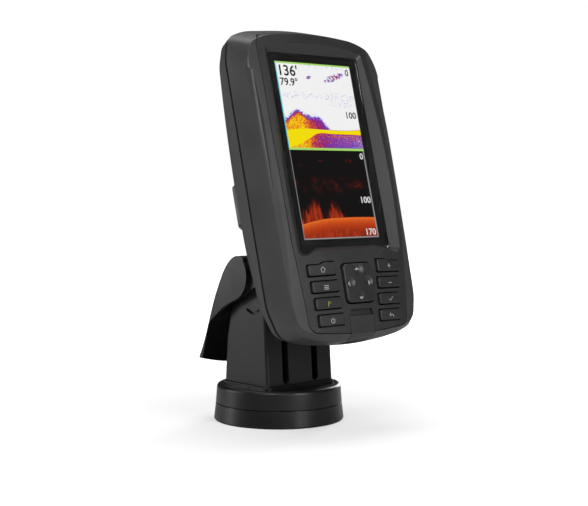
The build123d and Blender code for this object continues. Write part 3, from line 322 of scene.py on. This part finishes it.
# %% The window finish
window = bpy.data.materials.new("window")
window.use_nodes = True
tree = window.node_tree
shader = tree.nodes["Principled BSDF"]
shader.inputs["Base Color"].default_value = (1, 1, 1, 1)
shader.inputs["Transmission Weight"].default_value = 1.0
shader.inputs["IOR"].default_value = 1.45
smear = noise(tree, node(tree, "ShaderNodeTexCoord").outputs["Object"], 14.0, detail=4.0)
join(tree, calc(tree, "MULTIPLY", step(tree, smear, 0.45, 0.75), 0.03), shader.inputs["Roughness"])
FINISHES["window"] = window
print("window is clear, IOR 1.45")

# %% [markdown]
# ## Handing out the finishes
# The solid model says which material slot every part uses. Choosing finishes by slot
# means that a new screw or key gets the right look with no extra line here.

# %% Give each solid its finish
for row in frame["record"]["subparts"]:
    target = nodes[row["node"]]
    target.data.materials.clear()
    target.data.materials.append(FINISHES[row["material_slot"]])

# %% [markdown]
# ## Mesh helpers
# New pieces are made from points and faces. Most are drawn in the flat frame of the screen.
# Each gets a material and rides on a body of the model, so one helper does both
# in the same order every time.

# %% Making a piece
def show(name, mesh, material, body, matrix=HEAD):
    """Puts a mesh into the scene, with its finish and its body."""
    mesh.name = name
    mesh.materials.clear()
    mesh.materials.append(material)
    made = bpy.data.objects.new(name, mesh)
    bpy.context.scene.collection.objects.link(made)
    made.matrix_world = matrix
    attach(made, body)
    return made


def curve_mesh(name, curve):
    """The mesh of a curve or text, with no curve object left behind."""
    drawn = bpy.data.objects.new(name + "_curve", curve)
    bpy.context.scene.collection.objects.link(drawn)
    mesh = bpy.data.meshes.new_from_object(drawn)
    bpy.data.objects.remove(drawn)
    return mesh


def sheet_grid(low, high, out, across, upward):
    """Points and faces of a fine flat grid, in millimetres."""
    points = []
    for j in range(upward + 1):
        for i in range(across + 1):
            x = low[0] + (high[0] - low[0]) * i / across
            y = low[1] + (high[1] - low[1]) * j / upward
            points.append((x * MM, y * MM, out * MM))
    faces = []
    for j in range(upward):
        for i in range(across):
            a = j * (across + 1) + i
            faces.append((a, a + 1, a + across + 2, a + across + 1))
    return points, faces


print("mesh helpers ready")

# %% [markdown]
# ## The black border behind the window
# A real window has a black border printed on its back, which hides the edge of the
# display. Four strips would leave joints at the corners, so it is one thin ring: the
# window's outline outside, the picture's rectangle inside, filled with triangles.

# %% The printed border
PICTURE_HALF_W, PICTURE_HALF_H = 27.0, 47.5
BORDER_OUT = 0.74
outer = [(31.8, 51.4), (31.8, -54.6), (27.5, -54.6), (21.0, -51.8), (-21.0, -51.8), (-27.5, -54.6),
         (-31.8, -54.6), (-31.8, 51.4)]
inner = [(PICTURE_HALF_W, PICTURE_HALF_H), (PICTURE_HALF_W, -PICTURE_HALF_H),
         (-PICTURE_HALF_W, -PICTURE_HALF_H), (-PICTURE_HALF_W, PICTURE_HALF_H)]
ring = bmesh.new()
for loop in (outer, inner):
    corners = [ring.verts.new((x * MM, y * MM, BORDER_OUT * MM)) for x, y in loop]
    for a, b in zip(corners, corners[1:] + corners[:1]):
        ring.edges.new((a, b))
bmesh.ops.triangle_fill(ring, use_beauty=True, edges=ring.edges[:], normal=(0, 0, 1))
border_mesh = bpy.data.meshes.new("window_border")
ring.to_mesh(border_mesh)
ring.free()
ink = finish("border_ink", grey(0.003), 0.35, grain=0.1, depth=0.001, wear_and_highlight=0.0, tone=0.2)
show("window_border", border_mesh, ink, "head")
print("border faces", len(border_mesh.polygons))

# %% [markdown]
# ## What the display shows
# Sonar pictures are a map of echo strength, painted through a palette: nothing is white,
# weak echoes are blue and purple, and strong ones go through red and orange to yellow.
# So the picture is made the same way. Curves give the height of the lake bed and of the
# weed on it, noise breaks them up into echoes, and one colour ramp paints the strength.

# %% Curves and spots for echoes
def profile(tree, value, points):
    """A height that follows the given points as value goes from 0 to 1."""
    made = node(tree, "ShaderNodeFloatCurve", {"Value": value})
    curve = made.mapping.curves[0]
    curve.points[0].location = points[0]
    curve.points[1].location = points[-1]
    for point in points[1:-1]:
        curve.points.new(*point)
    made.mapping.update()
    return made.outputs[0]


def spot(tree, u, v, middle, size, lean=0.0):
    """1 at the middle of an oval and 0 outside it."""
    du = calc(tree, "SUBTRACT", u, middle[0])
    dv = calc(tree, "SUBTRACT", v, middle[1])
    dv = calc(tree, "SUBTRACT", dv, calc(tree, "MULTIPLY", du, lean))
    a = calc(tree, "POWER", calc(tree, "DIVIDE", du, size[0]), 2)
    b = calc(tree, "POWER", calc(tree, "DIVIDE", dv, size[1]), 2)
    return calc(tree, "SUBTRACT", 1.0, calc(tree, "ADD", a, b), clamp=True)


def strongest(tree, *echoes):
    total = echoes[0]
    for echo in echoes[1:]:
        total = calc(tree, "MAXIMUM", total, echo)
    return total


def picture_material(name):
    """A glowing material, with u and v from 0 to 1 over one half of the display."""
    made = bpy.data.materials.new(name)
    made.use_nodes = True
    tree = made.node_tree
    place = node(tree, "ShaderNodeTexCoord").outputs["Object"]
    split = node(tree, "ShaderNodeSeparateXYZ", {"Vector": place})
    u = calc(tree, "MULTIPLY_ADD", split.outputs["X"], 1 / (2 * PICTURE_HALF_W * MM), 0.5)
    return made, tree, place, u, split.outputs["Y"]


def glow(tree, colour, strength):
    shader = tree.nodes["Principled BSDF"]
    shader.inputs["Base Color"].default_value = (0.0, 0.0, 0.0, 1)
    shader.inputs["Roughness"].default_value = 0.5
    shader.inputs["Specular IOR Level"].default_value = 0.0
    shader.inputs["Emission Strength"].default_value = strength
    join(tree, colour, shader.inputs["Emission Color"])


PICTURE_GLOW = 0.95
print("picture tools ready, display", 2 * PICTURE_HALF_W, "x", 2 * PICTURE_HALF_H, "mm")

# %% [markdown]
# ## The colour view
# The upper half shows a weed bed as a purple and red mound on a yellow lake bed, with a few
# small shoals above it. Each is its own echo, and the strongest echo at a spot wins, as it
# does in a real instrument. First come the noises, then the echoes one after the other.

# %% Weed in the colour view
colour_view, tree, place, u, y = picture_material("colour_view")
v = calc(tree, "DIVIDE", y, PICTURE_HALF_H * MM)
fuzz = noise(tree, place, 1.3, detail=4.0, rough=0.7)
coarse = noise(tree, place, 3.4, detail=3.0, rough=0.6)
shake = calc(tree, "MULTIPLY_ADD", fuzz, 0.16, -0.08)

WEED_TOP = [(0, 0.36), (0.06, 0.38), (0.13, 0.44), (0.22, 0.47), (0.30, 0.42), (0.36, 0.41),
            (0.46, 0.41), (0.54, 0.33), (0.62, 0.25), (0.8, 0.2), (1, 0.2)]
WEED_STRENGTH = [(0, 0.76), (0.24, 0.76), (0.36, 0.56), (0.55, 0.40), (1, 0.2)]
weed_top = profile(tree, u, WEED_TOP)
depth_in = calc(tree, "SUBTRACT", calc(tree, "ADD", weed_top, shake), v)
weed = step(tree, depth_in, -0.01, 0.09)
weed = calc(tree, "MULTIPLY", weed, profile(tree, u, WEED_STRENGTH))
grit = noise(tree, place, 0.7, detail=2.0, rough=0.8)
mottle = calc(tree, "SUBTRACT", calc(tree, "ADD", calc(tree, "MULTIPLY", coarse, 0.5), grit), 0.75)
weed = calc(tree, "MULTIPLY", weed, calc(tree, "MULTIPLY_ADD", mottle, 1.5, 1.0))
print("weed follows", len(WEED_TOP), "points")

# %% Lake bed in the colour view
bed_top = profile(tree, u, [(0, 0.215), (0.2, 0.245), (0.5, 0.24), (0.8, 0.235), (1, 0.25)])
bed_low = profile(tree, u, [(0, 0.02), (0.15, 0.06), (0.3, 0.13), (0.42, 0.19), (0.6, 0.19), (1, 0.185)])
in_bed = calc(tree, "MULTIPLY", step(tree, calc(tree, "SUBTRACT", bed_top, v), -0.002, 0.006),
              step(tree, calc(tree, "SUBTRACT", v, bed_low), -0.02, 0.01))
below = step(tree, calc(tree, "SUBTRACT", bed_low, v), -0.01, 0.02)
fade = profile(tree, calc(tree, "SUBTRACT", bed_low, v),
               [(0, 0.56), (0.03, 0.44), (0.1, 0.34), (0.2, 0.2), (1, 0.1)])
speckle = calc(tree, "MULTIPLY_ADD", calc(tree, "SUBTRACT", grit, 0.5), 2.2, fade)
below = calc(tree, "MULTIPLY", below, speckle)
bed = calc(tree, "MAXIMUM", calc(tree, "MULTIPLY", in_bed, 0.97), below)
print("lake bed and the fading echo below it")

# %% Shoals and drifting specks
shoal = spot(tree, u, v, (0.76, 0.85), (0.16, 0.045), 0.32)
shoal = calc(tree, "MULTIPLY", shoal, 1.5, clamp=True)
shoal = calc(tree, "MULTIPLY", shoal, step(tree, fuzz, 0.42, 0.62))
tick = spot(tree, u, v, (0.42, 0.835), (0.035, 0.022), 0.3)
tick = calc(tree, "MULTIPLY", tick, step(tree, grit, 0.3, 0.6))
drift = step(tree, noise(tree, place, 0.9, detail=2.0, rough=0.9), 0.60, 0.64)
layer = strongest(tree, spot(tree, u, v, (0.25, 0.62), (0.3, 0.05)),
                  spot(tree, u, v, (0.78, 0.62), (0.3, 0.07)),
                  spot(tree, u, v, (0.8, 0.53), (0.2, 0.04)),
                  spot(tree, u, v, (0.72, 0.97), (0.35, 0.03)))
drift = calc(tree, "MULTIPLY", calc(tree, "MULTIPLY", drift, step(tree, layer, 0.0, 0.4)), 0.22)
print("one shoal, one tick and four drifting layers")

# %% Painting the colour view
echo = strongest(tree, weed, bed, calc(tree, "MULTIPLY", shoal, 0.62),
                 calc(tree, "MULTIPLY", tick, 0.8), drift)
painted = ramp(tree, echo, [
    (0.0, (1.0, 1.0, 1.0)), (0.10, (0.86, 0.86, 0.95)), (0.22, (0.16, 0.12, 0.72)),
    (0.36, (0.20, 0.03, 0.42)), (0.50, (0.36, 0.01, 0.12)), (0.62, (0.75, 0.08, 0.02)),
    (0.74, (1.0, 0.35, 0.01)), (0.92, (1.0, 0.82, 0.0)),
])
side = step(tree, u, 0.030, 0.016)
ends = calc(tree, "MAXIMUM", step(tree, v, 0.978, 0.984), step(tree, v, 0.030, 0.022))
painted = blend_colours(tree, side, painted, (0.10, 0.62, 0.75, 1))
painted = blend_colours(tree, ends, painted, (0.42, 0.78, 0.16, 1))
glow(tree, painted, PICTURE_GLOW)
print("colour view nodes", len(tree.nodes))

# %% [markdown]
# ## The dark view
# The lower half is the same lake seen with a finer beam: tall weed in dull red over an
# orange bed, on black. Stretching a noise upwards gives the blades of the weed, which is
# far lighter than modelling them.

# %% Weed in the dark view
dark_view, tree, place, u, y = picture_material("dark_view")
v = calc(tree, "MULTIPLY_ADD", y, 1 / (PICTURE_HALF_H * MM), 1.0)
fuzz = noise(tree, place, 0.9, detail=4.0, rough=0.7)
coarse = noise(tree, place, 5.0, detail=3.0)
BLADE_STRETCH = (1.0, 0.22, 1.0)
tall = node(tree, "ShaderNodeVectorMath", {0: place, 1: BLADE_STRETCH}, operation="MULTIPLY").outputs[0]
blades = noise(tree, tall, 1.5, detail=3.0, rough=0.7)
PLANT_TOP = [(0, 0.26), (0.06, 0.33), (0.13, 0.38), (0.21, 0.47), (0.27, 0.44), (0.33, 0.27),
             (0.38, 0.34), (0.44, 0.43), (0.52, 0.38), (0.58, 0.28), (0.66, 0.18), (1, 0.1)]
plant_top = profile(tree, u, PLANT_TOP)
ragged_top = calc(tree, "ADD", plant_top, calc(tree, "MULTIPLY_ADD", blades, 0.3, -0.15))
plant_in = calc(tree, "SUBTRACT", ragged_top, v)
plants = calc(tree, "MULTIPLY", step(tree, plant_in, -0.02, 0.14),
              calc(tree, "MULTIPLY_ADD", blades, 0.9, 0.12))
plants = calc(tree, "MULTIPLY", plants, calc(tree, "MULTIPLY_ADD", fuzz, 0.5, 0.65))
print("tall weed follows", len(PLANT_TOP), "points")

# %% Lake bed, specks and haze in the dark view
FLOOR_TOP = [(0, 0.17), (0.15, 0.205), (0.35, 0.232), (0.6, 0.24), (0.8, 0.24), (1, 0.235)]
FLOOR_FADE = [(0, 1.05), (0.025, 0.9), (0.10, 0.66), (0.22, 0.46), (1, 0.4)]
floor_top = profile(tree, u, FLOOR_TOP)
floor_in = calc(tree, "SUBTRACT", floor_top, v)
lake_floor = calc(tree, "MULTIPLY", step(tree, floor_in, -0.004, 0.01),
                  profile(tree, floor_in, FLOOR_FADE))
lake_floor = calc(tree, "MULTIPLY", lake_floor, calc(tree, "MULTIPLY_ADD", fuzz, 0.4, 0.78))
specks = strongest(tree, spot(tree, u, v, (0.12, 0.83), (0.06, 0.022)),
                   spot(tree, u, v, (0.38, 0.88), (0.05, 0.02)),
                   spot(tree, u, v, (0.76, 0.88), (0.09, 0.03)),
                   spot(tree, u, v, (0.84, 0.6), (0.12, 0.05)))
specks = calc(tree, "MULTIPLY", calc(tree, "MULTIPLY", specks, step(tree, fuzz, 0.45, 0.7)), 0.55)
haze = calc(tree, "MULTIPLY", spot(tree, u, v, (0.4, 0.6), (0.7, 0.12)), step(tree, coarse, 0.4, 0.8))
haze = calc(tree, "MULTIPLY", haze, 0.3)
print("lake bed, four specks and a band of haze")

# %% Painting the dark view
echo = strongest(tree, plants, lake_floor, specks, haze)
painted = ramp(tree, echo, [
    (0.0, (0.004, 0.003, 0.003)), (0.20, (0.04, 0.006, 0.003)), (0.42, (0.22, 0.016, 0.004)),
    (0.66, (0.50, 0.045, 0.006)), (0.85, (0.72, 0.11, 0.012)), (1.0, (0.90, 0.20, 0.025)),
])
sides = calc(tree, "MAXIMUM", step(tree, u, 0.022, 0.012), step(tree, u, 0.978, 0.988))
sides = calc(tree, "MAXIMUM", sides, step(tree, v, 0.020, 0.012))
painted = blend_colours(tree, sides, painted, (0.30, 0.30, 0.31, 1))
glow(tree, painted, PICTURE_GLOW)
print("dark view nodes", len(tree.nodes))

# %% [markdown]
# ## The two halves
# The display is one flat panel in the solid model. Each half of the picture is its own thin
# sheet just in front of it, because each half has a map of its own and its own palette.

# %% The two halves of the picture
PICTURE_OUT = 0.15
for name, low, high, material in (
    ("picture_upper", (-PICTURE_HALF_W, 0), (PICTURE_HALF_W, PICTURE_HALF_H), colour_view),
    ("picture_lower", (-PICTURE_HALF_W, -PICTURE_HALF_H), (PICTURE_HALF_W, 0), dark_view),
):
    points, faces = sheet_grid(low, high, PICTURE_OUT, 18, 16)
    half = bpy.data.meshes.new(name)
    half.from_pydata(points, [], faces)
    show(name, half, material, "head")
    print(name, len(half.polygons), "faces")

# %% [markdown]
# ## Numbers on the display
# Depth scales need figures. Blender's own font is turned into a mesh, and each number is
# set just in front of the picture. They are plain figures only: no names and no words.

# %% Number inks
def ink_glow(name, colour, strength):
    made = bpy.data.materials.new(name)
    made.use_nodes = True
    tree = made.node_tree
    spots = noise(tree, node(tree, "ShaderNodeTexCoord").outputs["Object"], 0.3)
    dim = (*(c * 0.85 for c in colour), 1)
    glow(tree, blend_colours(tree, spots, dim, (*colour, 1)), strength)
    return made


dark_digits = ink_glow("dark_digits", (0.012, 0.012, 0.014), 1.0)
pale_digits = ink_glow("pale_digits", (0.88, 0.88, 0.88), PICTURE_GLOW)
print("two number inks")

# %% Writing numbers
FIGURE_SHARE = 0.70
FIGURE_BOLD = 0.022
FIGURE_HALF_T = 0.02
FIGURE_OUT = 0.08


def number(name, text, x, y, height, material, narrow=1.0, right=False):
    """A number whose lower left, or lower right, corner is at x, y in millimetres."""
    curve = bpy.data.curves.new(name, "FONT")
    curve.body = text
    curve.size = height / FIGURE_SHARE * MM
    curve.extrude = FIGURE_HALF_T * MM
    curve.resolution_u = 3
    curve.offset = FIGURE_BOLD * height * MM
    curve.align_x = "RIGHT" if right else "LEFT"
    corner = Matrix.Translation(Vector((x, y, PICTURE_OUT + FIGURE_OUT)) * MM)
    matrix = HEAD @ corner @ Matrix.Diagonal((narrow, 1, 1, 1))
    show(name, curve_mesh(name, curve), material, "head", matrix)


number("depth_figure", "136'", -25.6, 40.0, 5.6, dark_digits, narrow=1.05)
number("warmth_figure", "79.9\u00b0", -25.0, 34.6, 4.0, dark_digits, narrow=1.05)
number("upper_scale_0", "0", 25.6, 42.0, 3.4, dark_digits, right=True, narrow=1.1)
number("upper_scale_100", "100", 25.8, 18.0, 3.5, dark_digits, right=True, narrow=1.1)
number("lower_scale_0", "0", 25.6, -4.6, 3.3, pale_digits, right=True, narrow=1.1)
number("lower_scale_100", "100", 25.6, -28.6, 3.4, pale_digits, right=True, narrow=1.1)
number("lower_scale_170", "170", 25.4, -46.0, 3.4, pale_digits, right=True, narrow=1.1)
print("numbers set")

# %% [markdown]
# ## Legends on the keys
# Each key carries a printed mark. Words are replaced by plain signs that everyone knows:
# a house, three bars, a flag, a power sign, plus, minus, a tick and a back arrow.
# A painted texture would need the keys unwrapped. Instead a mark is drawn with strokes as
# thin tubes, and then pressed flat onto the real key top, which a ray cast finds, so that
# the print follows the key's own curve and is a real piece.

# %% Pressing strokes onto a surface
TO_HEAD = HEAD.inverted()
STROKE_HALF = 0.21
PRINT_HEIGHT = 0.16
PRINT_LIFT = 0.01
RAY_START = 0.03


def key_top(node_name):
    """The middle of a key in the flat frame, and a ray caster onto it."""
    mesh = nodes[node_name].data
    points = [TO_HEAD @ v.co for v in mesh.vertices]
    tree = BVHTree.FromPolygons(points, [p.vertices[:] for p in mesh.polygons])
    middle = TO_HEAD @ (sum(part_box(node_name), Vector()) / 2)
    return middle, tree


def legend(name, node_name, strokes, material, half=STROKE_HALF):
    """Strokes are lists of points in millimetres from the key's middle, which is also the
    middle of the body of that name. A closed stroke ends where it began."""
    middle, surface = key_top(node_name)
    curve = bpy.data.curves.new(name, "CURVE")
    curve.dimensions = "3D"
    curve.bevel_depth = half * MM
    curve.bevel_resolution = 1
    curve.use_fill_caps = True
    for points in strokes:
        closed = points[0] == points[-1]
        spline = curve.splines.new("POLY")
        used = points[:-1] if closed else points
        spline.points.add(len(used) - 1)
        for target, (x, y) in zip(spline.points, used):
            target.co = (x * MM, y * MM, 0, 1)
        spline.use_cyclic_u = closed
    mesh = curve_mesh(name, curve)
    for vertex in mesh.vertices:
        x, y, z = vertex.co + middle
        hit = surface.ray_cast(Vector((x, y, RAY_START)), Vector((0, 0, -1)))[0]
        top = hit.z if hit else middle.z
        vertex.co = (x, y, top + vertex.co.z * PRINT_HEIGHT + PRINT_LIFT * MM)
    show(name, mesh, material, node_name)


def arc(radius, start, stop, steps=14):
    turns = [math.radians(start + (stop - start) * i / steps) for i in range(steps + 1)]
    return [(radius * math.cos(t), radius * math.sin(t)) for t in turns]


print("prints are", 2 * STROKE_HALF, "mm wide")

# %% Legend inks
legend_ink = finish("legend_ink", (0.55, 0.55, 0.56), 0.5, grain=0.15, depth=0.002, wear_and_highlight=0.0)
flag_ink = finish("flag_ink", (0.55, 0.44, 0.08), 0.5, grain=0.15, depth=0.002, wear_and_highlight=0.0)
print("two legend inks")

# %% The signs
SIGNS = {
    "key_home": [[(-1.5, 0.1), (0, 1.3), (1.5, 0.1)],
                 [(-1.0, 0.2), (-1.0, -1.2), (1.0, -1.2), (1.0, 0.2)]],
    "key_menu": [[(-1.5, 0.9), (1.5, 0.9)], [(-1.5, 0.0), (1.5, 0.0)], [(-1.5, -0.9), (1.5, -0.9)]],
    "key_mark": [[(-0.9, -1.3), (-0.9, 1.3), (1.2, 0.7), (-0.9, 0.0)]],
    "key_power": [arc(1.15, 125, 415), [(0, 0.1), (0, 1.5)]],
    "key_zoom_in": [[(-1.2, 0), (1.2, 0)], [(0, -1.2), (0, 1.2)]],
    "key_zoom_out": [[(-1.2, 0), (1.2, 0)]],
    "key_select": [[(-1.4, 0.0), (-0.4, -1.0), (1.5, 1.0)]],
    "key_back": [[(-0.5, 1.1), (-1.5, 0.2), (-0.5, -0.7)],
                 [(-1.4, 0.2), (1.0, 0.2), (1.5, -0.3), (1.5, -1.0)]],
}
for key, strokes in SIGNS.items():
    legend(key + "_sign", key, strokes, flag_ink if key == "key_mark" else legend_ink)
print(len(SIGNS), "signs on the keys")

# %% Arrows on the D-pad
DPAD_REACH_UP, DPAD_REACH_SIDE = 7.4, 7.0
ARROW_HALF_W, ARROW_LOW, ARROW_HIGH = 1.2, 0.3, 0.5
ARROW_STROKE = 0.42
for name, turn, reach in (("up", 0, DPAD_REACH_UP), ("left", 90, DPAD_REACH_SIDE),
                          ("down", 180, DPAD_REACH_UP), ("right", 270, DPAD_REACH_SIDE)):
    c, s = math.cos(math.radians(turn)), math.sin(math.radians(turn))
    low, tip = reach - ARROW_LOW, reach + ARROW_HIGH
    arrow = [(-ARROW_HALF_W, low), (0.0, tip), (ARROW_HALF_W, low), (-ARROW_HALF_W, low)]
    strokes = [[(x * c - y * s, x * s + y * c) for x, y in arrow]]
    legend("dpad_arrow_" + name, "dpad", strokes, legend_ink, half=ARROW_STROKE)
print("four arrows on the D-pad")

# %% [markdown]
# ## The hood
# The hood is a thin curved moulding whose real edges are rounded by about a millimetre,
# which catches the light along its whole outline. The solid model leaves them sharp.
# Subdivision would swell the thin wall, so a copy of the shell is cleaned of the extra
# edges that triangles bring, and a bevel modifier then rounds only the sharp ones.

# %% The rounded hood
HOOD_ROUND = 0.7
FLAT_ANGLE = math.radians(1.5)
SHARP_ANGLE = math.radians(40)
WELD = 0.002
shell = bmesh.new()
shell.from_mesh(nodes["hood"].data)
bmesh.ops.remove_doubles(shell, verts=shell.verts[:], dist=WELD * MM)
bmesh.ops.dissolve_limit(shell, angle_limit=FLAT_ANGLE, verts=shell.verts[:], edges=shell.edges[:])
hood_mesh = bpy.data.meshes.new("hood_shell")
shell.to_mesh(hood_mesh)
shell.free()
hood = show("hood_shell", hood_mesh, FINISHES["mount_plastic"], "cradle", Matrix())
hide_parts("hood")
rounding = hood.modifiers.new("rounding", "BEVEL")
rounding.width = HOOD_ROUND * MM
rounding.segments = 3
rounding.limit_method = "ANGLE"
rounding.angle_limit = SHARP_ANGLE
rounding.use_clamp_overlap = True
hood.modifiers.new("shading", "WEIGHTED_NORMAL")
hood_mesh.shade_smooth()
print("hood faces", len(hood_mesh.polygons))

# %% [markdown]
# ## Studio
# Dark plastic shows almost nothing but the lamps it mirrors, so the lamps decide how it
# looks. A soft key lamp stands high at the front left and another low in front. A tall
# strip behind on each side draws a bright line along the head and the hood, and a wide
# lamp overhead lights the tops. An image of a studio could do the same, but area lamps
# need no file and are easy to move.

# %% Lamps
def lamp(name, place, aim, size, power):
    data = bpy.data.lights.new(name, "AREA")
    data.shape = "RECTANGLE"
    data.size, data.size_y = size
    data.energy = power
    made = bpy.data.objects.new(name, data)
    bpy.context.scene.collection.objects.link(made)
    made.location = place
    made.rotation_euler = (Vector(aim) - Vector(place)).to_track_quat("-Z", "Y").to_euler()
    print("lamp", name, power, "W")


AIM = (0.0, -0.02, 0.12)
lamp("key_lamp", (-1.2, -0.9, 1.2), AIM, (0.9, 0.7), 13)
lamp("front_lamp", (0.0, -1.55, 0.62), AIM, (0.55, 0.8), 13)
lamp("right_strip", (1.5, 0.7, 0.35), AIM, (0.4, 1.1), 16)
lamp("left_strip", (-1.1, 1.15, 0.4), AIM, (0.5, 1.1), 9)
lamp("top_lamp", (0.1, 0.3, 1.5), AIM, (1.2, 1.0), 12)

# %% [markdown]
# ## Sky and floor
# The backdrop is white to the eye but dim as a lamp, so that it doesn't wash out the dark
# plastic. The floor is plain paper that also glows where the camera sees it. Near the object
# the glow is dimmer, a painted shadow added to the soft shadow the lamps cast, and further
# out it brightens into the backdrop, so no horizon shows.

# %% Sky
SKY_DIM, SKY_SEEN = 0.06, 0.95
sky = bpy.data.worlds.new("sky")
bpy.context.scene.world = sky
sky.use_nodes = True
tree = sky.node_tree
background = tree.nodes["Background"]
background.inputs["Color"].default_value = (1, 1, 1, 1)
seen = node(tree, "ShaderNodeLightPath").outputs["Is Camera Ray"]
join(tree, calc(tree, "MULTIPLY_ADD", seen, SKY_SEEN, SKY_DIM), background.inputs["Strength"])
print("sky strength", SKY_DIM, "as a lamp")

# %% Floor
FLOOR_HALF = 3.0
SHADOW_IN, SHADOW_OUT = 0.04, 0.28
FLOOR_GLOW_NEAR, FLOOR_GLOW_GAIN = 0.45, 0.55
floor_far = FLOOR_HALF / MM
floor_points, floor_faces = sheet_grid((-floor_far, -floor_far), (floor_far, floor_far), 0, 8, 8)
floor_mesh = bpy.data.meshes.new("floor")
floor_mesh.from_pydata(floor_points, [], floor_faces)
floor_look = bpy.data.materials.new("floor")
floor_look.use_nodes = True
tree = floor_look.node_tree
shader = tree.nodes["Principled BSDF"]
place = node(tree, "ShaderNodeTexCoord").outputs["Object"]
cloud = noise(tree, place, 400.0)
paper_colour = blend_colours(tree, cloud, (0.50, 0.50, 0.50, 1), (0.53, 0.53, 0.53, 1))
join(tree, paper_colour, shader.inputs["Base Color"])
shader.inputs["Roughness"].default_value = 0.8
shader.inputs["Specular IOR Level"].default_value = 0.1
shader.inputs["Emission Color"].default_value = (1, 1, 1, 1)
reach = node(tree, "ShaderNodeVectorMath", {0: place}, operation="LENGTH").outputs["Value"]
# The floor glows less near the object, a painted shadow, and evenly further out.
painted_floor_glow = calc(tree, "MULTIPLY_ADD", step(tree, reach, SHADOW_IN, SHADOW_OUT), FLOOR_GLOW_GAIN, FLOOR_GLOW_NEAR)
seen = node(tree, "ShaderNodeLightPath").outputs["Is Camera Ray"]
join(tree, calc(tree, "MULTIPLY", seen, painted_floor_glow), shader.inputs["Emission Strength"])
floor_mesh.materials.append(floor_look)
floor = bpy.data.objects.new("floor", floor_mesh)
bpy.context.scene.collection.objects.link(floor)
bpy.context.scene.view_settings.view_transform = "Standard"
print("floor", 2 * FLOOR_HALF, "m wide")
